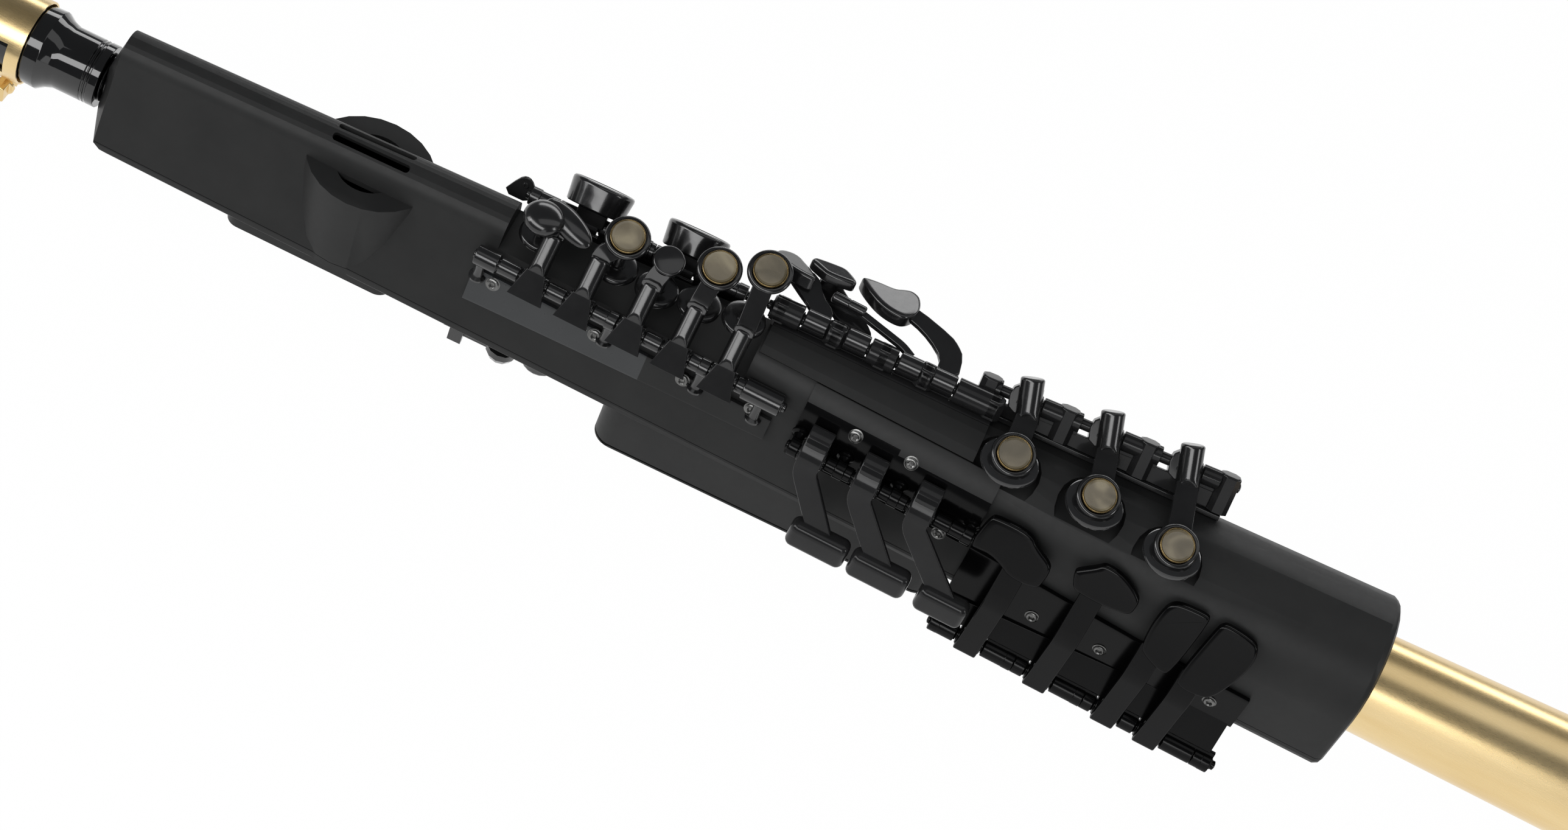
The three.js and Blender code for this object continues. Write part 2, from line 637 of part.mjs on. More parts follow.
function shells() {
  const bedTool = (extra) => box(
    [bed.start - extra, -farOff, bed.z - extra], [bed.end + extra, farOff, farOff],
  );
  const outer = cut(
    join(casingBody(), wingBody(-1, 0), wingBody(1, 0)),
    bedTool(0), noseTool(), ...recessTool(0),
  );
  const inner = cut(
    join(casingHollow(), wingBody(-1, casing.wall), wingBody(1, casing.wall)),
    bedTool(bed.wallBelow), noseTool().translate([casing.wall, 0, casing.wall]), ...recessTool(casing.wall),
  );
  const neckHole = cylinder(
    neck.radius - overrun + gap, [-overrun, 0, 0], [casing.start + 2 * casing.wall, 0, 0],
  );
  const bellHole = cylinder(
    bellRadius(casing.end) + gap, [bell.inner, 0, 0], [casing.end + overrun, 0, 0], bell.sides,
  );
  const vents = [wingVent(-1), wingVent(1), crownSlotTool(-1), crownSlotTool(1)];
  const shell = cut(outer, inner, neckHole, bellHole, ...vents);
  const band = crownSkin(-1, midBar, midBar.sunk + midBar.rise, -midBar.sunk);
  const rear = join(
    cut(shell, seamTool(-gap / 2)), ...boardPosts(), panelSolid(), backPad(hookPad), backPad(jack),
  );
  return {
    front: join(shell.intersect(seamTool(gap / 2)), band),
    rear: cut(rear, ...panelWells(), ...jackHoles()),
  };
}

// Bell: a slow cone that opens into a flare, whose rim lies level with the battery cover's foot
function bellCone(x) {
  const share = (x - bell.inner) / (bell.coneEnd - bell.inner);
  return bell.startRadius + (bell.coneRadius - bell.startRadius) * share;
}

function bellRadius(x) {
  if (x <= bell.coneEnd) return bellCone(x);
  const share = (x - bell.coneEnd) / (bell.mouth - bell.coneEnd);
  return bellCone(x) + (housing.foot - bell.rim - bellCone(bell.mouth)) * share ** bell.flarePower;
}

function bellSolid() {
  const xs = [bell.inner, bell.coneEnd];
  for (let step = 1; step <= bell.flareSteps; step += 1) {
    xs.push(bell.coneEnd + ((bell.mouth - bell.coneEnd) * step) / bell.flareSteps);
  }
  const outside = xs.map((x) => [bellRadius(x), x]);
  const inside = xs.map((x) => [bellRadius(x) - bell.wall, Math.max(x, bell.inner + bell.wall)]).reverse();
  const rim = [
    [bellRadius(bell.mouth) + bell.rim, bell.mouth - bell.rim],
    [bellRadius(bell.mouth) + bell.rim, bell.mouth + bell.rim],
  ];
  const lip = [[bellRadius(bell.mouth) - bell.wall, bell.mouth + bell.rim]];
  const profile = [[0, bell.inner], ...outside, ...rim, ...lip, ...inside, [0, bell.inner + bell.wall]];
  return turned(profile, [0, 0, 0], [1, 0, 0], bell.sides);
}

// Mouthpiece: shank, shoulder, round body and a beak that thins to the tip
function mouthpieceSolid() {
  const profile = [[0, mouth.shankEnd], [mouth.shankRadius, mouth.shankEnd]];
  for (const x of mouth.grooveX) {
    profile.push(
      [mouth.shankRadius, x + mouth.groove], [mouth.shankRadius - mouth.groove, x + mouth.groove],
    );
    profile.push(
      [mouth.shankRadius - mouth.groove, x - mouth.groove], [mouth.shankRadius, x - mouth.groove],
    );
  }
  const middle = (mouth.shoulderEnd + mouth.shoulder) / 2;
  const waist = mouth.shankRadius + (mouth.bodyRadius - mouth.shankRadius) * mouth.waistShare;
  profile.push([mouth.shankRadius, mouth.shoulderEnd], [waist, middle], [mouth.bodyRadius, mouth.shoulder]);
  profile.push(
    [mouth.bodyRadius - overrun, mouth.beakStart], [mouth.bodyRadius - 2 * overrun, mouth.tip],
    [0, mouth.tip],
  );
  const body = turned(profile.reverse(), [0, 0, 0], [1, 0, 0], fineSides);
  const flat = box([mouth.tip - overrun, -farOff, -farOff], [reed.heel, farOff, mouth.table]);
  const slope = slab(
    [
      [mouth.beakStart, mouth.bodyRadius], [mouth.tip, mouth.table + mouth.tipHigh],
      [mouth.tip - overrun, farOff], [mouth.beakStart, farOff],
    ],
    2 * farOff, [0, farOff, 0], [1, 0, 0], [0, 0, 1],
  );
  const bore = cylinder(mouth.bore, [neck.tip - overrun, 0, 0], [mouth.shankEnd + overrun, 0, 0]);
  return cut(body, flat, slope, bore);
}

function reedSolid() {
  const top = mouth.table - gap;
  const outline = [
    [reed.heel, top], [reed.tip, top], [reed.tip, top - reed.tipThick],
    [(reed.tip + reed.heel) / 2, top - reed.thick], [reed.heel, top - reed.thick],
  ];
  return slab(outline, 2 * reed.half, [0, reed.half, 0], [1, 0, 0], [0, 0, 1]);
}

function ligatureSolid() {
  const inside = ligature.radius - ligature.thick;
  const ring = turned(
    [
      [inside, ligature.start], [ligature.radius, ligature.start], [ligature.radius, ligature.end],
      [inside, ligature.end], [inside, ligature.start],
    ],
    [0, 0, 0], [1, 0, 0], ligature.sides,
  );
  const lugs = ligature.screwX.flatMap((x) => [-1, 1].map((side) => box(
    [
      x - ligature.lugWide / 2, side > 0 ? ligature.lugGap / 2 : -ligature.lugGap,
      -ligature.radius - ligature.lugDrop,
    ],
    [
      x + ligature.lugWide / 2, side > 0 ? ligature.lugGap : -ligature.lugGap / 2,
      -ligature.radius + ligature.thick,
    ],
  )));
  const opening = box(
    [ligature.start - overrun, -ligature.lugGap / 2, -farOff],
    [ligature.end + overrun, ligature.lugGap / 2, -inside / 2],
  );
  const windows = [-1, 1].map((side) => box(
    [ligature.start + ligature.lugWide, side > 0 ? ligature.lugGap : -farOff, -ligature.lugGap],
    [ligature.end - ligature.lugWide, side > 0 ? farOff : -ligature.lugGap, ligature.lugGap * 2],
  ));
  const bores = ligature.screwX.map((x) => {
    const z = -ligature.radius - ligature.lugDrop / 2;
    return cylinder(screw.radius + runningGap, [x, -farOff, z], [x, farOff, z], smallSides);
  });
  return cut(join(ring, ...lugs), opening, ...windows, ...bores);
}

function ligatureScrew() {
  const shaft = cylinder(screw.radius, [0, -screw.length / 2, 0], [0, screw.length / 2, 0], smallSides);
  const head = cylinder(screw.head, [0, -screw.length / 2 - screw.headLong, 0], [0, -screw.length / 2, 0]);
  const flat = screw.head / 2;
  const thin = [-1, 1].map((side) => box(
    [side > 0 ? flat : -farOff, -screw.length / 2 - screw.headLong - overrun, -farOff],
    [side > 0 ? farOff : -flat, -screw.length / 2 - overrun, farOff],
  ));
  return join(shaft, cut(head, ...thin));
}

function neckSolid() {
  const profile = [
    [neck.bore, neck.tip], [neck.tubeRadius, neck.tip], [neck.tubeRadius, mouth.shankEnd + gap],
    [neck.radius, mouth.shankEnd + gap], [neck.radius, casing.start - casing.noseLength - gap],
    [neck.tubeRadius, casing.start - casing.noseLength - gap], [neck.tubeRadius, neck.end],
    [neck.bore, neck.end], [neck.bore, neck.tip],
  ];
  return turned(profile, [0, 0, 0], [1, 0, 0], neck.sides);
}

// Key metalwork
function hub(wide) {
  const outer = cylinder(rod.hubRadius, [-wide / 2, 0, 0], [wide / 2, 0, 0], rod.hubSides);
  const bore = cylinder(
    rod.radius + runningGap, [-wide / 2 - overrun, 0, 0], [wide / 2 + overrun, 0, 0], rod.sides,
  );
  return { outer, bore };
}

function leanWay(tilt) {
  const lean = THREE.MathUtils.degToRad(tilt);
  return [0, -Math.sin(lean), Math.cos(lean)];
}

function tiltedCup(x, y, z, radius, depth, tilt) {
  const up = leanWay(tilt);
  const foot = [x, y - up[1] * depth, z - up[2] * depth];
  return cone(radius - cupTaper, radius, foot, [x, y, z], pearl.sides);
}

function pearlSeat(x, y, z, tilt) {
  const up = leanWay(tilt);
  const at = (distance) => [x, y + up[1] * distance, z + up[2] * distance];
  return cylinder(pearl.radius + gap, at(-pearl.seatDepth), at(overrun), pearl.sides);
}

function pearlSolid(tilt) {
  const foot = -pearl.seatDepth + gap;
  const edge = pearl.radius * pearlEdgeShare;
  const profile = [
    [0, foot], [pearl.radius, foot], [pearl.radius, 0], [edge, pearl.rise],
    [0, pearl.rise * pearlDishShare],
  ];
  return turned(profile, [0, 0, 0], leanWay(tilt), pearl.sides);
}

// A flat strap between two points, its broad face square to the given way
function strapBetween(from, to, wide, thick, facing) {
  const start = new THREE.Vector3(...from);
  const way = new THREE.Vector3(...to).sub(start);
  const length = way.length();
  way.normalize();
  const across = new THREE.Vector3().crossVectors(new THREE.Vector3(...facing), way).normalize();
  const normal = new THREE.Vector3().crossVectors(across, way);
  const geometry = new THREE.BoxGeometry(wide, length, thick).translate(0, length / 2, 0);
  geometry.applyMatrix4(new THREE.Matrix4().makeBasis(across, way, normal));
  return toSolid(geometry.translate(start.x, start.y, start.z));
}

// The long curved touch in front of the dome: a flattened ball, turned in its plane and tipped to the player
function leafSolid() {
  const { at, long, wide, thick, turn } = leftKey.leaf;
  const ball = new THREE.SphereGeometry(1, ...leftKey.leafSides).scale(long, wide, thick);
  ball.rotateZ(-THREE.MathUtils.degToRad(turn)).rotateX(THREE.MathUtils.degToRad(pearl.tilt));
  return toSolid(ball.translate(...at));
}

function leftKeySolid(key) {
  const { outer, bore } = hub(leftKey.wide);
  const slope = Math.SQRT1_2;
  const at = (distance, lift) => [0, (distance - lift) * slope, (distance + lift) * slope];
  const taper = (foot, half, deep, lift) => slab(
    [
      [-half, foot], [half, foot], [leftKey.barrelRadius, leftKey.neck],
      [-leftKey.barrelRadius, leftKey.neck],
    ],
    deep, at(0, lift), [1, 0, 0], [0, slope, slope],
  );
  const skirt = taper(leftKey.foot, leftKey.footWide / 2, strap.thick, leftKey.lift - strap.thick / 2);
  const root = taper(-rod.hubRadius, leftKey.wide / 2, leftKey.lift, 0);
  const barrelFoot = at(leftKey.neck - overrun, leftKey.lift);
  const barrelTop = at(leftKey.barrelTop, leftKey.lift);
  const barrel = cylinder(leftKey.barrelRadius, barrelFoot, barrelTop);
  const lean = THREE.MathUtils.degToRad(pearl.tilt);
  const below = pearl.ringDepth - strap.thick / 2;
  const under = [key.across, key.y + Math.sin(lean) * below, key.z - Math.cos(lean) * below];
  const armStart = at(leftKey.barrelTop - overrun, leftKey.lift - strap.thick);
  const arm = strapBetween(armStart, under, leftKey.armWide, strap.thick, [0, -slope, slope]);
  const cupTop = key.z - leftKey.cupDrop;
  const cupX = key.cupAcross ?? key.across;
  const cupAt = (z) => [cupX, leftKey.cupY, z];
  const stem = cylinder(leftKey.stemRadius, under, cupAt(cupTop - leftKey.cupThick / 2), smallSides);
  const cup = cone(
    leftKey.cupRadius, leftKey.cupRadius - cupTaper, cupAt(cupTop - leftKey.cupThick), cupAt(cupTop),
    leftKey.cupSides,
  );
  let touch;
  if (key.shape === 'pearl') {
    const ring = tiltedCup(key.across, key.y, key.z, pearl.ringRadius, pearl.ringDepth, pearl.tilt);
    touch = cut(ring, pearlSeat(key.across, key.y, key.z, pearl.tilt));
  } else if (key.shape === 'button') {
    touch = tiltedCup(key.across, key.y, key.z, leftKey.buttonRadius, pearl.ringDepth, pearl.tilt);
  } else {
    const ball = new THREE.SphereGeometry(
      leftKey.domeRadius, ...leftKey.domeSides,
    ).scale(1, 1, leftKey.domeShare);
    touch = join(toSolid(ball.translate(key.across, key.y, key.z)), leafSolid());
  }
  const seat = key.shape === 'pearl' ? [pearlSeat(key.across, key.y, key.z, pearl.tilt)] : [];
  return cut(join(outer, skirt, root, barrel, cut(join(arm, stem), ...seat), cup, touch), bore);
}

function rightKeySolid(key) {
  const { outer, bore } = hub(rightKey.wide);
  const lean = THREE.MathUtils.degToRad(rightKey.lean);
  const { barrelHigh, barrelSlide } = rightKey;
  const barrelTop = [barrelSlide, Math.sin(lean) * barrelHigh, Math.cos(lean) * barrelHigh];
  const barrel = cylinder(rightKey.barrelRadius, [0, 0, 0], barrelTop);
  const half = strap.wide / 2;
  const seatY = -key.reach;
  const seatZ = rightKey.seat - key.drop;
  const inner = seatY + pearl.ringRadius - overrun;
  const armEnd = seatZ - rightKey.armInset;
  const outline = [
    [rod.radius, rightKey.armRoot], [-rod.hubRadius, rightKey.armCrest], [inner, armEnd],
    [inner - overrun, armEnd - rightKey.armEnd],
    [-rod.hubRadius, rightKey.armCrest - rightKey.armThick], [rod.radius, rod.radius],
  ];
  const arm = barX(outline, -half, half).warp((point) => {
    point[0] += key.across * Math.min(Math.max(-point[1] / -inner, 0), 1);
  });
  const cup = tiltedCup(key.across, seatY, seatZ, pearl.ringRadius, rightKey.ringDepth, pearl.tilt);
  const discTop = seatZ - rightKey.discDrop;
  const discAt = (z) => [key.across, seatY, z];
  const disc = cylinder(rightKey.discRadius, discAt(discTop - rightKey.discThick), discAt(discTop), pearl.sides);
  return cut(join(outer, barrel, arm, cup, disc), bore, pearlSeat(key.across, seatY, seatZ, pearl.tilt));
}

function tableArm(arm) {
  const slope = THREE.MathUtils.degToRad(arm.slope);
  return slab(
    arm.outline, tableKey.armThick, [0, 0, arm.z], [1, 0, 0], [0, Math.cos(slope), Math.sin(slope)],
  );
}

function tableTouch(key) {
  const tilt = THREE.MathUtils.degToRad(key.tilt);
  const thick = key.thick ?? tableKey.thick;
  const [x, y, z] = key.touch;
  const under = [x, y - thick * Math.sin(tilt), z - thick * Math.cos(tilt)];
  return slab(key.outline, thick, under, [1, 0, 0], [0, Math.cos(tilt), -Math.sin(tilt)]);
}

// The upright that carries a touch above its arm
function tablePost(key) {
  const [x, y, z] = key.touch;
  const long = tableKey.postLong / 2;
  const wide = tableKey.postWide / 2;
  return box([x - long, y - wide, key.arm.z], [x + long, y + wide, z - tableKey.thick]);
}

function tableRoller({ from, to, radius, armFrom, armWide }) {
  const strapEnd = [from[0] - radius, from[1], from[2] - radius / 2];
  return join(cylinder(radius, from, to), strapBetween(armFrom, strapEnd, armWide, strap.thick, [0, 0, 1]));
}

function tableKeySolid(key) {
  const { outer, bore } = hub(tableKey.wide);
  const pieces = key.roller ? [tableRoller(key.roller)] : [tableArm(key.arm), tableTouch(key)];
  pieces.push(barX([...tableKey.cover].reverse(), -tableKey.wide / 2, tableKey.wide / 2));
  if (key.post) pieces.push(tablePost(key));
  return cut(join(outer, ...pieces), bore);
}

function sideKeySolid(key) {
  const { outer, bore } = hub(sideKey.wide);
  const half = sideKey.strapWide / 2;
  const hump = barX([...sideKey.hump].reverse(), -half, half);
  const [hangY, hangZ] = sideKey.hang;
  const foot = [key.slide, -sideKey.out, -sideKey.drop + sideKey.strapSunk];
  const arm = strapBetween([0, hangY, hangZ], foot, sideKey.strapWide, strap.thick, [0, -1, 0]);
  const long = key.long / 2 - sideKey.touchRadius;
  const capsule = new THREE.CapsuleGeometry(sideKey.touchRadius, 2 * long, ...sideKey.touchSides);
  capsule.rotateZ(quarterTurn).scale(1, sideKey.touchFlat, sideKey.touchTall);
  const touch = toSolid(capsule.translate(key.slide, -sideKey.out, -sideKey.drop));
  return cut(join(outer, hump, arm, touch), bore);
}

function lowKeySolid(key) {
  const { outer, bore } = hub(lowKey.wide);
  const half = lowKey.strapWide / 2;
  const t = strap.thick;
  const lean = THREE.MathUtils.degToRad(lowKey.lean);
  const outside = -rod.hubRadius - t + lowKey.strapInset;
  const bent = outside - lowKey.strapSlant;
  const root = lowKey.hubOverlap - rod.hubRadius;
  const end = bent + (key.top - lowKey.bend) * Math.tan(lean);
  const outline = [
    [0, root], [outside, root], [bent, lowKey.bend], [end, key.top],
    [end + t, key.top], [bent + t, lowKey.bend], [outside + t, 0], [0, lowKey.rootTop],
  ];
  const arm = barX(outline.reverse(), -half, half);
  const back = [
    0, lowKey.padFace + lowKey.padThick * Math.cos(lean),
    lowKey.padMiddle - lowKey.padThick * Math.sin(lean),
  ];
  const pad = slab(key.pad, lowKey.padThick, back, [1, 0, 0], [0, Math.sin(lean), Math.cos(lean)]);
  return cut(join(outer, arm, pad), bore);
}

function palmKeySolid() {
  const { outer, bore } = hub(palmKey.armWide);
  const lean = THREE.MathUtils.degToRad(palmKey.tilt);
  const up = [0, Math.sin(lean), Math.cos(lean)];
  const foot = [0, palmKey.out, palmKey.rise];
  const top = [0, foot[1] + up[1] * palmKey.high, foot[2] + up[2] * palmKey.high];
  const drum = cone(palmKey.radius - palmKey.taper, palmKey.radius, foot, top, palmKey.sides);
  const half = palmKey.armWide / 2;
  const { root, rise, armTop, armRise } = palmKey;
  const arm = barX(
    [[root, armRise], [armTop, rise + armRise], [-root, rise], [-root, armRise]], -half, half,
  );
  return cut(join(outer, arm, drum), bore);
}

// A row's group, whose local X runs along its rod
function rowGroup(row) {
  const group = new THREE.Group();
  const start = new THREE.Vector3(...row.start);
  group.position.copy(start);
  const way = new THREE.Vector3(...row.end).sub(start).normalize();
  group.quaternion.setFromUnitVectors(new THREE.Vector3(1, 0, 0), way);
  return group;
}

// A rounded rectangle ring at one height, drawn in by an inset
function roundedRing(start, end, half, corner, inset, z) {
  const halfLong = (end - start) / 2 - inset;
  const shape = roundedShape(halfLong, half - inset, corner - inset, (start + end) / 2, 0);
  return shape.getPoints(ringCornerSteps).slice(0, -1).map((point) => [point.x, point.y, z(point.x)]);
}

// Height of the casing's flat back, less a clearance
function backZ(x, clearance = gap) {
  return -stationAt(x).rearDepth - clearance;
}

function housingSolid() {
  const { start, end, half, corner, wall, foot, coverThick } = housing;
  const rim = () => -foot + coverThick + gap;
  const outer = loft([
    roundedRing(start, end, half, corner, 0, rim),
    roundedRing(start, end, half, corner, 0, (x) => backZ(x)),
  ]);
  const inner = loft([
    roundedRing(start, end, half, corner, wall, () => -foot),
    roundedRing(start, end, half, corner, wall, (x) => backZ(x) - wall),
  ]);
  return cut(outer, inner);
}

function coverSolid() {
  const { start, end, half, corner, foot, coverThick, edge, edgeRise } = housing;
  return loft([
    roundedRing(start, end, half, corner, edge, () => -foot),
    roundedRing(start, end, half, corner, 0, () => -foot + edgeRise),
    roundedRing(start, end, half, corner, 0, () => -foot + coverThick),
  ]);
}

// Four cells wrapped into one pack
function packSolid() {
  const cells = cell.x.flatMap((x) => [-1, 1].map((sideOf) => cylinder(
    cell.radius, [x - cell.length / 2, sideOf * cell.y, 0], [x + cell.length / 2, sideOf * cell.y, 0],
  )));
  const start = cell.x[0] - cell.length / 2 + cell.inset;
  const end = cell.x[1] + cell.length / 2 - cell.inset;
  const wrap = box([start, -cell.y, -cell.radius + cell.inset], [end, cell.y, cell.radius - cell.inset]);
  return join(wrap, ...cells);
}

function panelFoot(x) {
  return backZ(x) - panel.thick;
}

function panelSolid() {
  const { start, end, half, corner, edge, edgeRise } = panel;
  return loft([
    roundedRing(start, end, half, corner, edge, panelFoot),
    roundedRing(start, end, half, corner, 0, (x) => panelFoot(x) + edgeRise),
    roundedRing(start, end, half, corner, 0, (x) => backZ(x, -casing.wall / 2)),
  ]);
}

function panelWells() {
  const well = (x, radius, deep, sides) => cylinder(
    radius + gap, [x, 0, panelFoot(x) - overrun], [x, 0, panelFoot(x) + deep], sides,
  );
  return [
    ...button.x.map((x) => well(x, button.radius, button.deep, roundSides)),
    well(dial.x, dial.radius, dial.deep, dial.sides),
  ];
}

function buttonSolid() {
  const inside = button.deep - button.travel - gap;
  return cylinder(button.radius, [0, 0, -button.proud], [0, 0, inside]);
}

function dialSolid() {
  const ribbed = new THREE.Shape();
  for (let rib = 0; rib < 2 * dial.ribs; rib += 1) {
    const angle = (fullTurn * rib) / (2 * dial.ribs);
    const radius = dial.radius - (rib % 2) * dial.ribDepth;
    const place = [radius * Math.cos(angle), radius * Math.sin(angle)];
    if (rib === 0) ribbed.moveTo(...place);
    else ribbed.lineTo(...place);
  }
  const height = dial.proud + dial.deep - gap;
  return placedShape(ribbed, height, [0, 0, -dial.proud], [1, 0, 0], [0, 1, 0]);
}

function thumbRestSolid() {
  const { radius, high, dish } = thumbRest;
  const profile = [[0, 0], [radius, 0], [radius, high - dish], [radius - dish, high], [0, high - dish]];
  return turned(profile, [0, 0, 0], [0, 0, -1], thumbRest.sides);
}

// Octave key: a dome on a lever that turns on a cross pin
function octaveKeySolid() {
  const half = octave.hubWide / 2;
  const reach = octave.touchX - octave.pivotX;
  const hubBody = cylinder(octave.hubRadius, [0, -half, 0], [0, half, 0], rod.hubSides);
  const pin = cylinder(
    octave.pinRadius + runningGap, [0, -half - overrun, 0], [0, half + overrun, 0], rod.sides,
  );
  const lever = box(
    [0, -octave.leverWide / 2, -octave.leverThick / 2],
    [reach, octave.leverWide / 2, octave.leverThick / 2],
  );
  const dome = turned(
    [
      [0, -octave.leverThick / 2], [octave.touchRadius, -octave.leverThick / 2],
      [octave.touchRadius, octave.touchHigh / 3],
      [octave.touchRadius * domeShoulderShare, octave.touchHigh * domeShoulderShare], [0, octave.touchHigh],
    ],
    [reach, 0, 0], [reach, 0, -1],
  );
  return cut(join(hubBody, lever, dome), pin);
}

// The bracket on the back that carries the octave key's cross pin
function octaveBracketSolid() {
  const half = octave.hubWide / 2 + runningGap;
  const outer = half + octave.earThick;
  const top = octave.pinZ + backZ(octave.pivotX);
  const pin = cylinder(octave.pinRadius, [0, -outer, 0], [0, outer, 0], rod.sides);
  const ears = [-1, 1].map((side) => box(
    [-octave.earWide / 2, side > 0 ? half : -outer, -octave.earWide / 2],
    [octave.earWide / 2, side > 0 ? outer : -half, top],
  ));
  const base = box(
    [-octave.baseLong / 2, -outer, top - octave.baseThick], [octave.baseLong / 2, outer, top],
  );
  return join(pin, ...ears, base);
}

// Strap eye: a lug on the back with a hole that the ring hangs in
function strapEyeSolid() {
  const top = backZ(strapEye.x);
  const hang = top - strapEye.drop;
  const lug = box(
    [strapEye.x - strapEye.radius, -strapEye.half, hang],
    [strapEye.x + strapEye.radius, strapEye.half, top],
  );
  const nose = cylinder(
    strapEye.radius, [strapEye.x, -strapEye.half, hang], [strapEye.x, strapEye.half, hang],
  );
  const hole = cylinder(strapEye.hole, [strapEye.x, -farOff, hang], [strapEye.x, farOff, hang], smallSides);
  return cut(join(lug, nose), hole);
}

function strapRingSolid() {
  const torus = new THREE.TorusGeometry(strapEye.ring, strapEye.wire, smallSides, strapEye.sides);
  return toSolid(torus.rotateY(quarterTurn).translate(0, 0, -strapEye.ring));
}

// Thumb hook: a foot that slides on its plate and an arm that curls over the thumb
function hookSolid() {
  const { baseHalf, half, thick, high, curl, arcSteps } = hook;
  const outline = [[-baseHalf, 0], [baseHalf, 0], [baseHalf, -thick], [-baseHalf + thick, -thick]];
  const bend = [curl - baseHalf + thick, -high];
  for (let step = 0; step <= arcSteps; step += 1) {
    const angle = Math.PI + (quarterTurn * hook.sweep * step) / arcSteps;
    outline.push([bend[0] + curl * Math.cos(angle), bend[1] + curl * Math.sin(angle)]);
  }
  for (let step = arcSteps; step >= 0; step -= 1) {
    const angle = Math.PI + (quarterTurn * hook.sweep * step) / arcSteps;
    outline.push([bend[0] + (curl + thick) * Math.cos(angle), bend[1] + (curl + thick) * Math.sin(angle)]);
  }
  return slab(outline.reverse(), 2 * half, [0, half, 0], [1, 0, 0], [0, 0, 1]);
}

function backPad(pad) {
  const { x, half, wide, thick, corner } = pad;
  return loft([
    roundedRing(x - half, x + half, wide, corner, 0, (at) => backZ(at, 0) - thick),
    roundedRing(x - half, x + half, wide, corner, 0, (at) => backZ(at, -casing.wall / 2)),
  ]);
}

function jackHoles() {
  return jack.holes.map((shift) => cylinder(
    jack.radius, [jack.x + shift, 0, -farOff], [jack.x + shift, 0, backZ(jack.x) + 2 * casing.wall],
  ));
}

function boardSolid() {
  return box([board.start, -board.half, board.z], [board.end, board.half, board.z + board.thick]);
}

function driverSolid() {
  const back = driver.magnetDeep + driver.plate;
  const profile = [
    [0, 0], [driver.magnet, 0], [driver.magnet, driver.magnetDeep], [driver.radius, back],
    [driver.radius, driver.magnetDeep + driver.deep],
    [driver.radius - driver.rim, driver.magnetDeep + driver.deep],
    [driver.magnet / 2, back], [0, back],
  ];
  return (sideOf) => turned(profile, [0, 0, 0], [0, sideOf, 0], driver.sides);
}

function driverY() {
  const inner = wing.radius - casing.wall;
  const face = Math.sqrt(inner ** 2 - driver.radius ** 2) + wing.reach - wing.radius - gap;
  return face - driver.magnetDeep - driver.deep;
}

function exciterSolid() {
  const { radius, deep, cap, capDeep, sides } = exciter;
  const profile = [
    [0, 0], [radius, 0], [radius, deep], [cap, deep], [cap, deep + capDeep], [0, deep + capDeep],
  ];
  return turned(profile, [0, 0, 0], [-1, 0, 0], sides);
}

const model = new THREE.Group();

function addPart(name, solid, finish, parent = model, position = [0, 0, 0]) {
  const mesh = new THREE.Mesh(toGeometry(solid), finishes[finish]);
  mesh.name = name;
  mesh.position.set(...position);
  parent.add(mesh);
}

// Casing, neck and bell
const shell = shells();
addPart('front_casing', shell.front, 'satin');
addPart('rear_casing', shell.rear, 'satin');
addPart('neck_tube', neckSolid(), 'gloss');
addPart('mouthpiece', mouthpieceSolid(), 'gloss');
addPart('reed', reedSolid(), 'cane');
addPart('ligature', ligatureSolid(), 'brass');
ligature.screwX.forEach((x, index) => {
  const z = -ligature.radius - ligature.lugDrop / 2;
  addPart(`ligature_screw_${index + 1}`, ligatureScrew(), 'brass', model, [x, 0, z]);
});
addPart('bell', bellSolid(), 'brass');

// Posts that rise from a plate and the rod they hold
function posts(row, side, size, foot) {
  const start = new THREE.Vector3(...row.start);
  const way = new THREE.Vector3(...row.end).sub(start);
  const half = way.clone().normalize().multiplyScalar(rod.postWide / 2);
  return row.posts.flatMap((x) => {
    const centre = start.clone().addScaledVector(way, (x - start.x) / way.x);
    const low = centre.clone().sub(half);
    const high = centre.clone().add(half);
    const knuckle = cylinder(rod.postRadius, low.toArray(), high.toArray(), rod.postSides);
    const stem = cylinder(rod.stemRadius, centre.toArray(), foot(x, side, size, centre), smallSides);
    return [knuckle, stem];
  });
}

function flatFoot(x, side, size, centre) {
  const share = (x - size.start) / (size.end - size.start);
  const top = downTo(x, size.top[0] + (size.top[1] - size.top[0]) * share) + rod.stemRadius;
  const foot = downTo(x, size.foot[0] + (size.foot[1] - size.foot[0]) * share) - rod.stemRadius;
  const down = Math.min(Math.max(downTo(x, centre.z), top), foot);
  return sidePoint(x, side, down, gap + rod.stemRadius + stemLift);
}

function crownFoot(x, side, size, centre) {
  const at = stationAt(x);
  const reach = at.crownRadius + gap + plate.thick * stemShare;
  const angle = Math.atan2(centre.z - at.crownZ, centre.y);
  return [x, reach * Math.cos(angle), at.crownZ + reach * Math.sin(angle)];
}

// A rail that closes the space between a plate and the hubs on its rod
function rail(row, side, size, foot) {
  const start = new THREE.Vector3(...row.start);
  const way = new THREE.Vector3(...row.end).sub(start);
  const ends = [row.posts[0], row.posts.at(-1)].map((x) => {
    const centre = start.clone().addScaledVector(way, (x - start.x) / way.x);
    const down = new THREE.Vector3(...foot(x, side, size, centre)).sub(centre);
    return { centre, down, long: down.length() };
  });
  const along = way.clone().normalize();
  const upward = ends[0].down.clone().negate();
  upward.addScaledVector(along, -upward.dot(along)).normalize();
  const top = -rod.hubRadius - runningGap;
  const reach = ends[1].centre.distanceTo(ends[0].centre);
  const outline = [[0, -ends[0].long], [reach, -ends[1].long], [reach, top], [0, top]];
  const third = new THREE.Vector3().crossVectors(along, upward);
  const origin = ends[0].centre.clone().addScaledVector(third, -rod.railThick / 2);
  return slab(outline, rod.railThick, origin.toArray(), along.toArray(), upward.toArray());
}

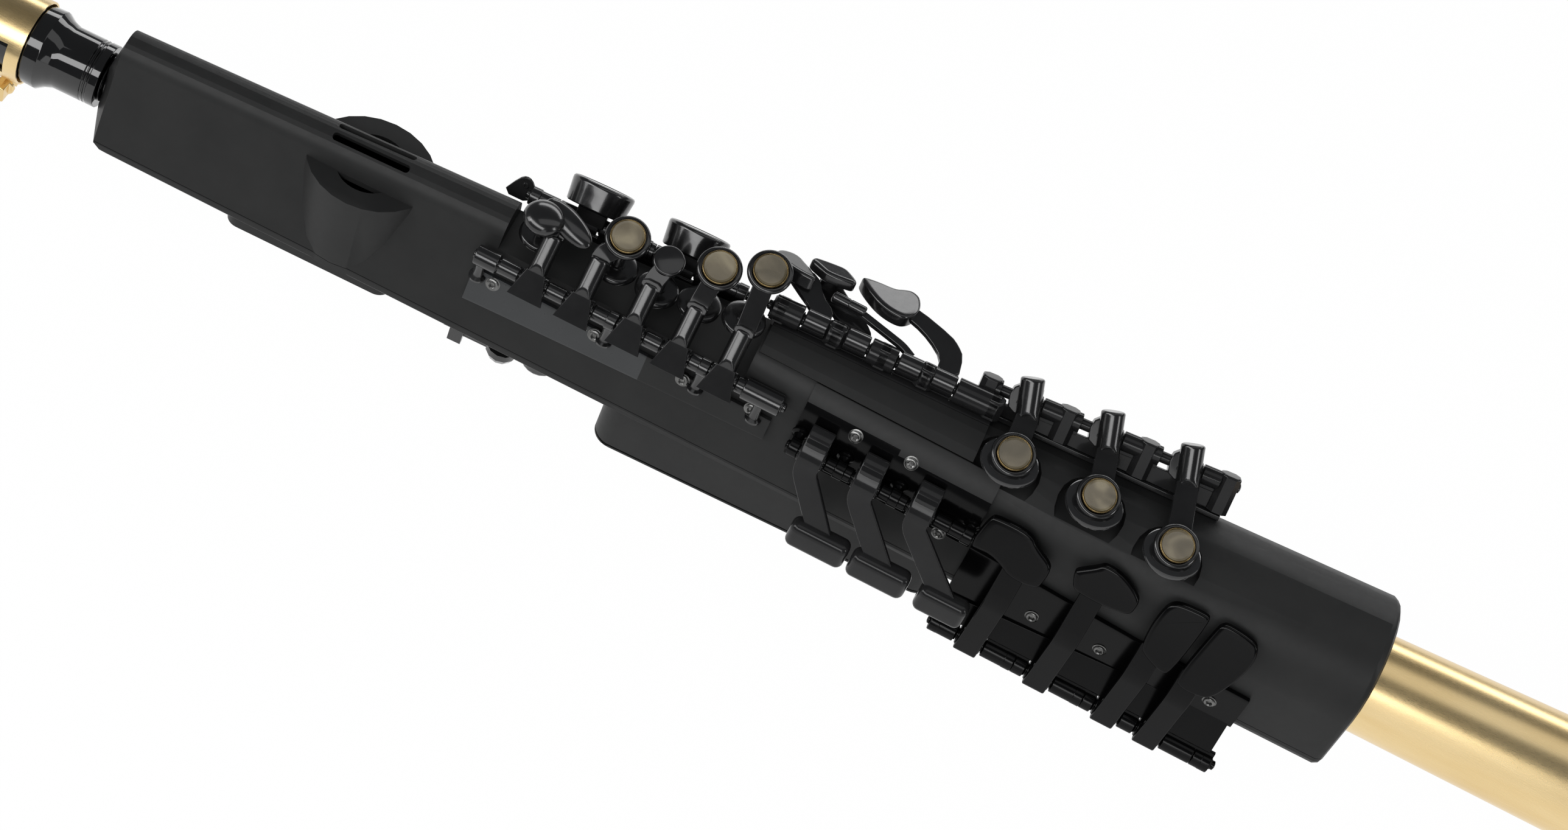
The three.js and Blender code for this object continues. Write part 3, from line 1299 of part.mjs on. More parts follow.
function carrier(base, row, side, size, foot) {
  const bars = [cylinder(rod.radius, row.start, row.end, rod.sides)];
  if (row.rail) bars.push(rail(row, side, size, foot));
  return join(base, ...posts(row, side, size, foot), ...bars);
}

function keyRow(name, row, base) {
  const group = rowGroup(row);
  model.add(group);
  addPart(`${name}_plate`, base, 'gloss');
  return group;
}

// Left-hand stack
const left = keyRow('left', leftRow, carrier(sidePlate(-1, leftPlate), leftRow, -1, leftPlate, flatFoot));
leftKeys.forEach((key, index) => {
  const x = key.x - leftRow.start[0];
  addPart(`left_key_${index + 1}`, leftKeySolid(key), 'keyMetal', left, [x, 0, 0]);
  if (key.shape === 'pearl') {
    addPart(
      `left_pearl_${index + 1}`, pearlSolid(pearl.tilt), 'pearl', left, [x + key.across, key.y, key.z],
    );
  }
});

// Right-hand stack
const right = keyRow(
  'right', rightRow, carrier(crownSkin(1, rightPlate, plate.thick), rightRow, 1, rightPlate, crownFoot),
);
rightKeys.forEach((key, index) => {
  const seat = [key.x + key.across, -key.reach, rightKey.seat - key.drop];
  addPart(`right_key_${index + 1}`, rightKeySolid(key), 'keyMetal', right, [key.x, 0, 0]);
  addPart(`right_pearl_${index + 1}`, pearlSolid(pearl.tilt), 'pearl', right, seat);
});

// Table keys
const table = keyRow(
  'table', tableRow, carrier(crownSkin(1, tablePlate, plate.thick), tableRow, 1, tablePlate, crownFoot),
);
tableKeys.forEach((key, index) => {
  addPart(`table_key_${index + 1}`, tableKeySolid(key), 'keyMetal', table, [key.x, 0, 0]);
});

// Side keys
const side = keyRow(
  'side', sideRow,
  carrier(crownSkin(-1, sidePlateSize, plate.thick), sideRow, -1, sidePlateSize, crownFoot),
);
sideKeys.forEach((key, index) => {
  addPart(`side_key_${index + 1}`, sideKeySolid(key), 'keyMetal', side, [key.x, 0, 0]);
});

// Low keys
const low = keyRow('low', lowRow, carrier(sidePlate(-1, lowPlate), lowRow, -1, lowPlate, flatFoot));
lowKeys.forEach((key, index) => {
  addPart(`low_key_${index + 1}`, lowKeySolid(key), 'keyMetal', low, [key.x, 0, 0]);
});

// Palm keys
const palm = keyRow('palm', palmRow, carrier(sidePlate(1, palmPlate), palmRow, 1, palmPlate, flatFoot));
palmKeys.forEach((key, index) => {
  addPart(`palm_key_${index + 1}`, palmKeySolid(), 'keyMetal', palm, [key.x, 0, 0]);
});

// Battery housing
addPart('battery_housing', housingSolid(), 'satin');
addPart('battery_cover', coverSolid(), 'satin');
const cellZ = -housing.foot + housing.coverThick + gap + cell.radius;
addPart('battery_pack', packSolid(), 'wrap', model, [0, 0, cellZ]);

// Back panel, thumb parts, strap eye and hook
button.x.forEach((x, index) => {
  addPart(`button_${index + 1}`, buttonSolid(), 'gloss', model, [x, 0, panelFoot(x)]);
});
addPart('dial', dialSolid(), 'gloss', model, [dial.x, 0, panelFoot(dial.x)]);
addPart(
  'thumb_rest', thumbRestSolid(), 'gloss', model,
  [thumbRest.x, thumbRest.y, backZ(thumbRest.x + thumbRest.radius)],
);
addPart('octave_bracket', octaveBracketSolid(), 'keyMetal', model, [octave.pivotX, octave.y, -octave.pinZ]);
addPart('octave_key', octaveKeySolid(), 'gloss', model, [octave.pivotX, octave.y, -octave.pinZ]);
addPart('strap_eye', strapEyeSolid(), 'keyMetal');
addPart('strap_ring', strapRingSolid(), 'steel', model, [strapEye.x, 0, backZ(strapEye.x) - strapEye.drop]);
addPart(
  'thumb_hook', hookSolid(), 'gloss', model,
  [hookPad.x, 0, backZ(hookPad.x + hookPad.half) - hookPad.thick],
);

// Inner pieces
addPart('circuit_board', boardSolid(), 'green');
[-1, 1].forEach((sideOf, index) => {
  addPart(
    `speaker_${index + 1}`, driverSolid()(sideOf), 'steel', model, [wing.x, sideOf * driverY(), driver.z],
  );
});
addPart('bell_exciter', exciterSolid(), 'steel', model, [bell.inner - gap, 0, 0]);
addPart(
  'breath_sensor', box([0, -sensor.half, -sensor.high], [sensor.long, sensor.half, sensor.high]), 'gloss',
  model, [neck.end + gap, 0, 0],
);

// The origin lies under the middle of the instrument, on the surface it lies on
model.updateMatrixWorld(true);
const extent = new THREE.Box3().setFromObject(model);
const centre = extent.getCenter(new THREE.Vector3());
model.position.set(-centre.x, -centre.y, -extent.min.z);

export default model;
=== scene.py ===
import bpy
import bmesh
import json
import math
from mathutils import Matrix, Vector


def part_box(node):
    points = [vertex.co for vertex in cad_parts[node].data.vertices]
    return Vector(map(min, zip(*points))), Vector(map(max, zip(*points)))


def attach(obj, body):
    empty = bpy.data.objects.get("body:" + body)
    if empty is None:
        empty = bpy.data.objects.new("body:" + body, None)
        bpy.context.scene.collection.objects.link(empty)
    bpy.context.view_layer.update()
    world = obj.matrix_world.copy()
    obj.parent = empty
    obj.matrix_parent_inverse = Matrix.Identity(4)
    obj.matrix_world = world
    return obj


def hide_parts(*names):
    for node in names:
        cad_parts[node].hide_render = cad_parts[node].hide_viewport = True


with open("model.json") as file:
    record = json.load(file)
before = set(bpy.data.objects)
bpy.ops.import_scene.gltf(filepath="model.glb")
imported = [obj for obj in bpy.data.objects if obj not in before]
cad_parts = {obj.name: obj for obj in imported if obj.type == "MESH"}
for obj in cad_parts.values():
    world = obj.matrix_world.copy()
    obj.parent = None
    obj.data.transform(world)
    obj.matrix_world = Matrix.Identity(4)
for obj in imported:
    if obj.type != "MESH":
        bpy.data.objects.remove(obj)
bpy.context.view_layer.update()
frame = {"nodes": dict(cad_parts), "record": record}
MM = .001
BOARD_CORNER = Vector((404, -19, -8))
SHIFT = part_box("circuit_board")[0] / MM - BOARD_CORNER
nodes = frame["nodes"]
body_of = {n: body for body, names in frame["record"]["behaviour"]["bodies"].items() for n in names}


def put(point):
    """A point of the shared millimetre frame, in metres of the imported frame."""
    return (Vector(point) + SHIFT) * MM


# Camera: 50 degrees above the horizon, looking along +Y, rolled with the photograph's diagonal.
PHOTO_WIDTH = 2576
SENSOR = 36
FOCAL_PIXELS = 5200
DISTANCE = 1300
DIVE = math.radians(50)
ROLL = (.9015, .4329)
TARGET_X, TARGET_UP = 310.8, -4.9
FAR_END = 50
right = Vector((1, 0, 0))
up = Vector((0, math.sin(DIVE), math.cos(DIVE)))
look = Vector((0, math.cos(DIVE), -math.sin(DIVE)))
image_x = right * ROLL[0] + up * ROLL[1]
image_y = up * ROLL[0] - right * ROLL[1]
eye = put(right * TARGET_X + up * TARGET_UP - look * DISTANCE)
camera_data = bpy.data.cameras.new("camera")
camera_data.sensor_width = SENSOR
camera_data.lens = FOCAL_PIXELS * SENSOR / PHOTO_WIDTH
camera_data.clip_end = FAR_END
camera = bpy.data.objects.new("camera", camera_data)
camera.matrix_world = Matrix([(image_x[i], image_y[i], -look[i], eye[i]) for i in range(3)] + [(0, 0, 0, 1)])
bpy.context.collection.objects.link(camera)
bpy.context.scene.camera = camera
bpy.context.scene.view_settings.view_transform = "Standard"


# Materials: noise scales are in cells to a metre, colours are linear
PATCH, WEAR = 60, 360
GRAIN_DEPTH = .00004
PLASTIC_IOR = 1.5


def tree(name):
    """A new material, named from the name given."""
    m = bpy.data.materials.new(name + "_look")
    m.use_nodes = True
    nt = m.node_tree
    return m, nt, nt.nodes["Principled BSDF"]


def link(nt, a, out, b, into):
    nt.links.new(a.outputs[out], b.inputs[into])


def noise(nt, scale, detail=3, rough=.5, stretch=(1, 1, 1)):
    """A noise fixed to the object, stretched along its axes."""
    co = nt.nodes.new("ShaderNodeTexCoord")
    mp = nt.nodes.new("ShaderNodeMapping")
    mp.inputs["Scale"].default_value = stretch
    link(nt, co, "Object", mp, "Vector")
    n = nt.nodes.new("ShaderNodeTexNoise")
    n.inputs["Scale"].default_value = scale
    n.inputs["Detail"].default_value = detail
    n.inputs["Roughness"].default_value = rough
    link(nt, mp, "Vector", n, "Vector")
    return n


def ramp(nt, source, stops):
    """A colour ramp with stops of (place, colour or grey)."""
    r = nt.nodes.new("ShaderNodeValToRGB")
    el = r.color_ramp.elements
    while len(el) < len(stops):
        el.new(.5)
    for e, (pos, col) in zip(el, stops):
        e.position = pos
        e.color = (*col, 1) if isinstance(col, tuple) else (col, col, col, 1)
    link(nt, source, "Fac", r, "Fac")
    return r


def feed(nt, source, p, into, low, high, edge=.3):
    """Feeds a shader's socket with a noise, ramped from low to high."""
    link(nt, ramp(nt, source, [(edge, low), (1 - edge, high)]), "Color", p, into)


def bump(nt, p, source, strength, distance):
    b = nt.nodes.new("ShaderNodeBump")
    b.inputs["Strength"].default_value = strength
    b.inputs["Distance"].default_value = distance
    link(nt, source, "Fac", b, "Height")
    link(nt, b, "Normal", p, "Normal")


def plastic(name, dark, light, rough, spread, grain, relief, coat=0, shine=.5, coat_rough=.04):
    """A plastic or lacquer that varies in tone and wear, over a fine grain."""
    m, nt, p = tree(name)
    feed(nt, noise(nt, PATCH, detail=4), p, "Base Color", dark, light)
    feed(nt, noise(nt, WEAR, detail=5, rough=.6), p, "Roughness", rough - spread, rough + spread)
    bump(nt, p, noise(nt, grain, detail=2), relief, GRAIN_DEPTH)
    p.inputs["Coat Weight"].default_value = coat
    p.inputs["Coat Roughness"].default_value = coat_rough
    p.inputs["IOR"].default_value = PLASTIC_IOR
    p.inputs["Specular IOR Level"].default_value = shine
    return m


satin = plastic("casing_satin", (.0135, .0137, .0137), (.017, .0172, .017),
                rough=.45, spread=.03, grain=5200, relief=.22, shine=.2)
gloss = plastic("gloss_black", (.0024, .0024, .0025), (.0036, .0036, .0038),
                rough=.07, spread=.02, grain=900, relief=.02, coat=.5)
key_gloss = plastic("key_gloss", (.0055, .0055, .0057), (.0085, .0085, .0088),
                    rough=.19, spread=.03, grain=1400, relief=.02, coat=.25)
# A copy of the key gloss with a darker base colour, for the low keys and the side and low plates: painted
# shade.
painted_shade_gloss = plastic("painted_shade_gloss", (.0012, .0012, .0013), (.0022, .0022, .0023),
                     rough=.12, spread=.02, grain=1400, relief=.02, coat=.32, shine=0,
                     coat_rough=.16)
# A copy of the key gloss with a lighter base colour, for key arms, side keys, the right and table plates and
# the palm tab: painted reflection.
lighter_gloss_painted_reflection = plastic("lighter_gloss_painted_reflection", (.01, .01, .0103), (.014, .014, .0144),
                    rough=.16, spread=.02, grain=1400, relief=.02, coat=.14, shine=.14)
# A copy of the key gloss with a lighter base colour, for the discs round the right-hand pearls: painted
# reflection.
dish_gloss_painted_reflection = plastic("dish_gloss_painted_reflection", (.01, .0101, .0104), (.014, .0142, .0148),
                     rough=.12, spread=.02, grain=1400, relief=.02, coat=.2, shine=.7)
plate_mat = plastic("plate_satin", (.018, .0198, .021), (.022, .024, .0255),
                    rough=.3, spread=.03, grain=3800, relief=.04)


def brass_material():
    """Lacquered brass, with a tone and a brushing that run along the bell."""
    m, nt, p = tree("lacquered_brass")
    feed(nt, noise(nt, 14, detail=4, stretch=(1, 6, 6)), p, "Base Color", (.76, .56, .27), (.84, .65, .35))
    p.inputs["Metallic"].default_value = 1
    feed(nt, noise(nt, 260, rough=.6, stretch=(1, 30, 30)), p, "Roughness", .24, .34, edge=.25)
    bump(nt, p, noise(nt, 30, detail=2), strength=.08, distance=.0002)
    p.inputs["Coat Weight"].default_value = .08
    p.inputs["Coat Roughness"].default_value = .08
    return m


def pearl_material():
    """Cloudy mother of pearl under a clear coat."""
    m, nt, p = tree("pearl")
    swirl = noise(nt, 45, detail=2, rough=.4, stretch=(1, 1.6, 1))
    swirl.inputs["Distortion"].default_value = 1.2
    stops = [(.32, (.066, .053, .028)), (.5, (.116, .095, .057)), (.68, (.21, .178, .112))]
    link(nt, ramp(nt, swirl, stops), "Color", p, "Base Color")
    feed(nt, noise(nt, 300), p, "Roughness", .2, .3)
    p.inputs["Coat Weight"].default_value = .7
    p.inputs["Coat Roughness"].default_value = .08
    bump(nt, p, swirl, strength=.03, distance=.0001)
    return m


def cane_material():
    """Cane, with its grain along the reed."""
    m, nt, p = tree("reed")
    grain = noise(nt, 90, detail=5, rough=.6, stretch=(1, 14, 14))
    feed(nt, grain, p, "Base Color", (.55, .38, .17), (.76, .6, .33))
    feed(nt, grain, p, "Roughness", .45, .62)
    bump(nt, p, grain, strength=.3, distance=.0001)
    return m


def metal_material(name, dark, light, rough):
    """A metal with uneven tone and wear."""
    m, nt, p = tree(name)
    tone = noise(nt, 400, detail=4)
    feed(nt, tone, p, "Base Color", dark, light)
    p.inputs["Metallic"].default_value = 1
    spread = .05
    feed(nt, noise(nt, 900), p, "Roughness", rough - spread, rough + spread)
    bump(nt, p, tone, strength=.05, distance=.00005)
    return m


def board_material():
    """Green board with paler tracks."""
    m, nt, p = tree("board")
    cells = nt.nodes.new("ShaderNodeTexBrick")
    co = nt.nodes.new("ShaderNodeTexCoord")
    link(nt, co, "Object", cells, "Vector")
    cells.inputs["Scale"].default_value = 120
    cells.inputs["Color1"].default_value = (.012, .09, .03, 1)
    cells.inputs["Color2"].default_value = (.016, .12, .045, 1)
    cells.inputs["Mortar"].default_value = (.05, .22, .08, 1)
    link(nt, cells, "Color", p, "Base Color")
    feed(nt, noise(nt, 300), p, "Roughness", .3, .5)
    return m


brass = brass_material()
pearl = pearl_material()
cane = cane_material()
steel = metal_material("steel", (.3, .3, .31), (.45, .45, .46), rough=.3)
black_steel = metal_material("black_steel", (.02, .02, .022), (.045, .045, .05), rough=.22)
board = board_material()
screw_mat = metal_material("screw", (.1, .1, .098), (.2, .2, .195), rough=.3)
pearl_rim = metal_material("pearl_rim", (.12, .085, .035), (.22, .16, .075), rough=.28)
cell_wrap = plastic("battery", (.02, .05, .12), (.03, .07, .16),
                    rough=.3, spread=.05, grain=800, relief=.05, coat=.3)

FINISH = {
    ("front_casing", "rear_casing", "battery_housing", "battery_cover"): satin,
    ("neck_tube", "mouthpiece", "button", "dial", "thumb"): gloss,
    ("ligature", "bell_exciter"): brass,
    ("speaker", "breath_sensor"): black_steel,
    ("octave",): key_gloss,
    ("strap",): steel,
    ("battery_pack",): cell_wrap,
    ("circuit_board",): board,
    ("reed",): cane,
}


def finish_of(name):
    """The material of a node that keeps its own shape."""
    return next(mat for starts, mat in FINISH.items() if name.startswith(starts))


# Mesh building: shells in millimetres of a local frame, collected in one bmesh
QUARTER = math.pi / 2
TINY = 1e-6
SHARP_FROM, DRESSED_SHARP_FROM = 38, 32
BEVEL_FROM = math.radians(34)
FLAT = math.radians(.6)
JOIN, EDGE = .002, .5


def add_ring(bm, points):
    return [bm.verts.new(p) for p in points]


def skin(bm, rings, closed=False, caps=True):
    """Faces between rings of equal count; a ring of one vertex closes to a point."""
    made = []
    pairs = list(zip(rings, rings[1:])) + ([(rings[-1], rings[0])] if closed else [])
    for a, b in pairs:
        count = max(len(a), len(b))
        for k in range(count):
            corners = [a[k % len(a)], a[(k + 1) % len(a)], b[(k + 1) % len(b)], b[k % len(b)]]
            unique = list(dict.fromkeys(corners))
            if len(unique) > 2:
                made.append(bm.faces.new(unique))
    if caps and not closed:
        for ring in (rings[0], rings[-1]):
            if len(ring) > 2:
                made.append(bm.faces.new(ring))
    return made


def paint(bm, mat, first, last=None):
    """Gives a material to the faces made since a count, or between two counts."""
    bm.faces.ensure_lookup_table()
    for face in bm.faces[first:last]:
        face.material_index = mat


def quarter_turn(steps):
    """The sines and cosines over a quarter turn."""
    return [(math.sin(QUARTER * k / steps), math.cos(QUARTER * k / steps)) for k in range(steps + 1)]


def frame_along(way):
    """Three directions at right angles, the last of them along way."""
    way = Vector(way).normalized()
    upright = .9
    helper = Vector((0, 0, 1)) if abs(way.z) < upright else Vector((0, 1, 0))
    first = helper.cross(way).normalized()
    return first, way.cross(first), way


def lathe(bm, profile, start, way, sides=40, closed=False, mat=0, lobes=None):
    """A profile of (radius, height) turned round the line from start along way."""
    first, second, third = frame_along(way)
    start = Vector(start)
    rings = []
    for index, (radius, height) in enumerate(profile):
        foot = start + third * height
        if radius < TINY:
            rings.append([bm.verts.new(foot)])
            continue
        ring = []
        for k in range(sides):
            a = 2 * math.pi * k / sides
            r = radius * (lobes(index, a) if lobes else 1)
            ring.append(bm.verts.new(foot + first * (r * math.cos(a)) + second * (r * math.sin(a))))
        rings.append(ring)
    for f in skin(bm, rings, closed):
        f.material_index = mat


def fillet(centre, radius, start, end, steps=4):
    """Points (radius, height) of an arc about a corner's centre."""
    out, height = centre
    turns = [start + (end - start) * k / steps for k in range(steps + 1)]
    return [(out + radius * math.cos(a), height + radius * math.sin(a)) for a in turns]


def rod_between(bm, radius, start, end, edge=.4, sides=32):
    start, end = Vector(start), Vector(end)
    long = (end - start).length
    profile = [(0, 0)] + fillet((radius - edge, edge), edge, -QUARTER, 0)
    profile += fillet((radius - edge, long - edge), edge, 0, QUARTER) + [(0, long)]
    lathe(bm, profile, start, end - start, sides)


def hub(bm, wide):
    """The sleeve that a key turns on, about the middle of its rod."""
    radius, bore, edge = 4.2, 2.8, .35
    h = wide / 2
    profile = [(bore, -h)] + fillet((radius - edge, edge - h), edge, -QUARTER, 0)
    profile += fillet((radius - edge, h - edge), edge, 0, QUARTER) + [(bore, h)]
    lathe(bm, profile, (0, 0, 0), (1, 0, 0), closed=True)


def cut_barrel(bm, radius, foot, top, front, apex):
    """A barrel sliced at a slant on its front side, from its foot up to an apex."""
    sides, slices, slope = 48, 24, .5
    edge_high, edge_in = .5, .25
    tip_high, tip_in = .8, .8
    foot, top = Vector(foot), Vector(top)
    way = (top - foot).normalized()
    long = (top - foot).length
    front = (Vector(front) - way * Vector(front).dot(way)).normalized()
    side = way.cross(front)
    shell = [(long * k / slices, radius) for k in range(slices + 1)]
    shell += [(long + edge_high, radius - edge_in), (long + tip_high, radius - tip_in)]
    rings = []
    for height, wide in shell:
        most = radius * (1 - slope * max(0, apex - height) / apex)
        ring = []
        for k in range(sides):
            a = 2 * math.pi * k / sides
            out = min(wide * math.cos(a), most)
            ring.append(bm.verts.new(foot + way * height + front * out + side * (wide * math.sin(a))))
        rings.append(ring)
    skin(bm, rings)


def cushion(bm, centre, long, wide, thick, edge):
    """A block rounded on every edge, long along X and wide along Z."""
    first, second = Vector((1, 0, 0)), Vector((0, 0, 1))
    third = first.cross(second)
    drawn_in, rounder, least = .9, .6, .3
    steps = 5
    quarter = [(edge * (1 - sine), edge * (1 - cosine)) for sine, cosine in quarter_turn(steps)]
    ends = [(step - long / 2, inset) for step, inset in quarter]
    ends += [(long / 2 - step, inset) for step, inset in quarter]
    rings = []
    for x, inset in sorted(ends):
        less = 2 * inset * drawn_in
        section = rounded_box_section(wide - less, thick - less, max(edge - inset * rounder, least), 4)
        rings.append(add_ring(bm, [Vector(centre) + first * x + second * a + third * b for a, b in section]))
    skin(bm, rings)


def rounded_box_section(wide, thick, edge, steps=3):
    """A rounded rectangle as (across, out) points."""
    points = []
    for cx, cy, a in ((1, 1, 0), (-1, 1, 1), (-1, -1, 2), (1, -1, 3)):
        for k in range(steps + 1):
            t = (a + k / steps) * QUARTER
            across = cx * (wide / 2 - edge) + edge * math.cos(t)
            points.append((across, cy * (thick / 2 - edge) + edge * math.sin(t)))
    return points


def eased(path, radius, steps=5):
    """A path whose corners are rounded to about the radius given."""
    most = .45
    path = [Vector(p) for p in path]
    out = [path[0]]
    for before, here, after in zip(path, path[1:], path[2:]):
        a, b = before - here, after - here
        reach = min(radius, a.length * most, b.length * most)
        p, q = here + a.normalized() * reach, here + b.normalized() * reach
        for k in range(steps + 1):
            t = k / steps
            out.append(p * (1 - t) ** 2 + here * (2 * t * (1 - t)) + q * t ** 2)
    return out + [path[-1]]


def sweep(bm, path, wide, thick, across=(1, 0, 0), edge=.5, widths=None):
    """A strap of rounded-rectangle section along a path, its width along across."""
    across = Vector(across).normalized()
    rings = []
    last = len(path) - 1
    for index, point in enumerate(path):
        way = (path[min(index + 1, last)] - path[max(index - 1, 0)]).normalized()
        side = (across - way * across.dot(way)).normalized()
        out = side.cross(way)
        share = widths(index / last) if widths else 1
        section = rounded_box_section(wide * share, thick, edge)
        rings.append(add_ring(bm, [point + side * a + out * b for a, b in section]))
    skin(bm, rings)


def chaikin(points, rounds=2):
    """An outline whose corners are cut, in rounds, until they look round."""
    keep = .25
    points = [Vector(p) for p in points]
    for _ in range(rounds):
        sides = zip(points, points[1:] + points[:1])
        points = [q for a, b in sides for q in (a.lerp(b, keep), a.lerp(b, 1 - keep))]
    return points


def inward(points, distance):
    """The outline drawn in by a distance; the outline runs anticlockwise."""
    out = []
    for a, b, c in zip(points[-1:] + points[:-1], points, points[1:] + points[:1]):
        n = Vector(((b - a).y, -(b - a).x)).normalized() + Vector(((c - b).y, -(c - b).x)).normalized()
        out.append(b - n.normalized() * distance)
    return out


def pillow(bm, outline, thick, origin, across, upward, edge=1, under=.4, rounds=2, steps=4, crown=0):
    """A plate with rounded edges: origin lies on its top face, and the outline is seen from above."""
    first, second = Vector(across).normalized(), Vector(upward).normalized()
    third = first.cross(second)
    origin = Vector(origin)
    flat = chaikin(outline, rounds)
    area = sum(a.x * b.y - b.x * a.y for a, b in zip(flat, flat[1:] + flat[:1]))
    if area < 0:
        flat.reverse()
    levels = [(under * (1 - sine), -thick + under * (1 - cosine)) for sine, cosine in quarter_turn(steps)]
    levels += [(edge * (1 - cosine), -edge * (1 - sine)) for sine, cosine in quarter_turn(steps)]
    rings = []
    for inset, level in levels:
        ring = inward(flat, inset) if inset else flat
        rings.append(add_ring(bm, [origin + first * p.x + second * p.y + third * level for p in ring]))
    if crown:
        drawn_in = .12
        last = [v.co for v in rings[-1]]
        middle = sum(last, Vector()) / len(last)
        rings.append(add_ring(bm, [point.lerp(middle, drawn_in) + third * crown for point in last]))
    skin(bm, rings)


def ellipsoid(bm, centre, halves, turn=Matrix.Identity(4)):
    made = bmesh.ops.create_uvsphere(bm, u_segments=40, v_segments=24, radius=1)
    scale = Matrix.Diagonal((*halves, 1))
    bmesh.ops.transform(bm, matrix=Matrix.Translation(centre) @ turn @ scale, verts=made["verts"])


def block(bm, low, high, edge=.6):
    """A box with rounded upright corners and softened top and bottom edges."""
    (x0, y0, z0), (x1, y1, z1) = low, high
    points = []
    for cx, cy in ((x0, y0), (x1, y0), (x1, y1), (x0, y1)):
        sx, sy = (1 if cx == x0 else -1), (1 if cy == y0 else -1)
        a, b = (cx + sx * edge, cy), (cx, cy + sy * edge)
        points += [b, a] if (sx > 0) == (sy > 0) else [a, b]
    pillow(bm, points, z1 - z0, (0, 0, z1), (1, 0, 0), (0, 1, 0), edge * .6, edge * .4, rounds=1, steps=2)


def smooth(mesh, angle):
    for p in mesh.polygons:
        p.use_smooth = True
    mesh.set_sharp_from_angle(angle=math.radians(angle))


def bevel(obj, width):
    b = obj.modifiers.new("edge", "BEVEL")
    b.width = width * MM
    b.segments = 2
    b.limit_method = "ANGLE"
    b.angle_limit = BEVEL_FROM
    b.harden_normals = True
    b.use_clamp_overlap = True


def settle(obj, body, mats, stands_for=()):
    """Puts an object in the scene, on its body, with its materials, and hides the CAD nodes it stands for.
    """
    for mat in mats:
        obj.data.materials.append(mat)
    bpy.context.collection.objects.link(obj)
    if stands_for:
        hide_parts(*stands_for)
    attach(obj, body)
    weigh = obj.modifiers.new("weigh", "WEIGHTED_NORMAL")
    weigh.keep_sharp = True


def mesh_of(bm, name):
    mesh = bpy.data.meshes.new(name)
    bm.to_mesh(mesh)
    bm.free()
    return mesh


def piece(name, bm, matrix, body, mats, stands_for=()):
    """Turns collected shells into an object that rides on a body."""
    bmesh.ops.recalc_face_normals(bm, faces=bm.faces)
    mesh = mesh_of(bm, name)
    mesh.transform(matrix)
    smooth(mesh, SHARP_FROM)
    settle(bpy.data.objects.new(name, mesh), body, mats, stands_for)


def dress(name):
    """A node's own shape with its split corners joined, its flats dissolved and its edges rounded."""
    bm = bmesh.new()
    bm.from_mesh(nodes[name].data)
    bmesh.ops.remove_doubles(bm, verts=bm.verts, dist=JOIN * MM)
    bmesh.ops.dissolve_limit(bm, angle_limit=FLAT, verts=bm.verts, edges=bm.edges)
    mesh = mesh_of(bm, name + "_dressed")
    obj = bpy.data.objects.new(name + "_dressed", mesh)
    smooth(mesh, DRESSED_SHARP_FROM)
    bevel(obj, EDGE)
    settle(obj, body_of[name], [finish_of(name)], (name,))


WHOLE = Matrix.Translation(SHIFT * MM) @ Matrix.Scale(MM, 4)


def ends_of(row):
    return Vector(row["start"]), Vector(row["end"])


def between(pair, share):
    return pair[0] + (pair[1] - pair[0]) * share


def row_matrix(row, x):
    """The frame of a key: its origin is on the row's rod, a distance from the rod's start."""
    start, end = ends_of(row)
    turn = Vector((1, 0, 0)).rotation_difference(end - start).to_matrix().to_4x4()
    return WHOLE @ Matrix.Translation(start) @ turn @ Matrix.Translation((x, 0, 0))


# The casing's section, repeated from the CAD source
CORNER = 4
NEAR, FAR = -1, 1
SCREW_REACH, SIDE_REACH, HALVINGS = 70, 80, 40
GAP, PLATE = .3, 2
STATIONS = [
    {"x": 7, "crown": 9.5, "top": 29.6, "half": 22.2, "deep": 20.5},
    {"x": 178, "crown": 10.8, "top": 35.5, "half": 25.2, "deep": 22.3},
    {"x": 480, "crown": 30.5, "top": 36.4, "half": 30.4, "deep": 25.5},
    {"x": 571, "crown": 32, "top": 39.2, "half": 32.1, "deep": 26.5},
]


def station_at(x):
    """The casing's section at X, mixed from the stations on both sides."""
    k = 1
    while k < len(STATIONS) - 1 and STATIONS[k]["x"] < x:
        k += 1
    a, b = STATIONS[k - 1], STATIONS[k]
    share = (x - a["x"]) / (b["x"] - a["x"])
    mix = {key: between((a[key], b[key]), share) for key in a}
    crown_z = mix["top"] - mix["crown"]
    cy, cz = mix["half"] - CORNER, CORNER - mix["deep"]
    bias = math.acos((mix["crown"] - CORNER) / math.hypot(cy, cz - crown_z))
    return {"crown": mix["crown"], "z": crown_z, "flare": math.atan2(cz - crown_z, cy) + bias}


def skin_point(x, side, along, lift):
    """A point and outward direction on the casing, a distance from the crown's top down one side."""
    at = station_at(x)
    turn = along / at["crown"]
    most = QUARTER - at["flare"]
    angle = QUARTER - min(turn, most)
    out = Vector((0, side * math.cos(angle), math.sin(angle)))
    point = Vector((x, 0, at["z"])) + out * (at["crown"] + lift)
    if turn > most:
        down = Vector((0, side * math.sin(at["flare"]), -math.cos(at["flare"])))
        point += down * (along - most * at["crown"])
    return point, out


def halved(too_near, reach):
    """The distance from the crown's top at which a test turns, found by halving, at most a reach."""
    low, high = 0, reach
    for _ in range(HALVINGS):
        middle = (low + high) / 2
        if too_near(middle):
            low = middle
        else:
            high = middle
    return (low + high) / 2


def on_skin(x, picture_up, lift):
    """The point of the casing at X that shows at a height in the picture plane."""
    def above(along):
        point, _out = skin_point(x, NEAR, along, lift)
        return up.y * point.y + up.z * point.z > picture_up
    return skin_point(x, NEAR, halved(above, SCREW_REACH), lift)


def down_to(x, z, side):
    """The distance from the crown's top at which the side reaches a height."""
    return halved(lambda along: skin_point(x, side, along, 0)[0].z > z, SIDE_REACH)


def edge_at(x, size, key, side):
    """The distance from the crown's top of a plate's top or foot."""
    share = (x - size["start"]) / (size["end"] - size["start"])
    return down_to(x, between(size[key], share), side)



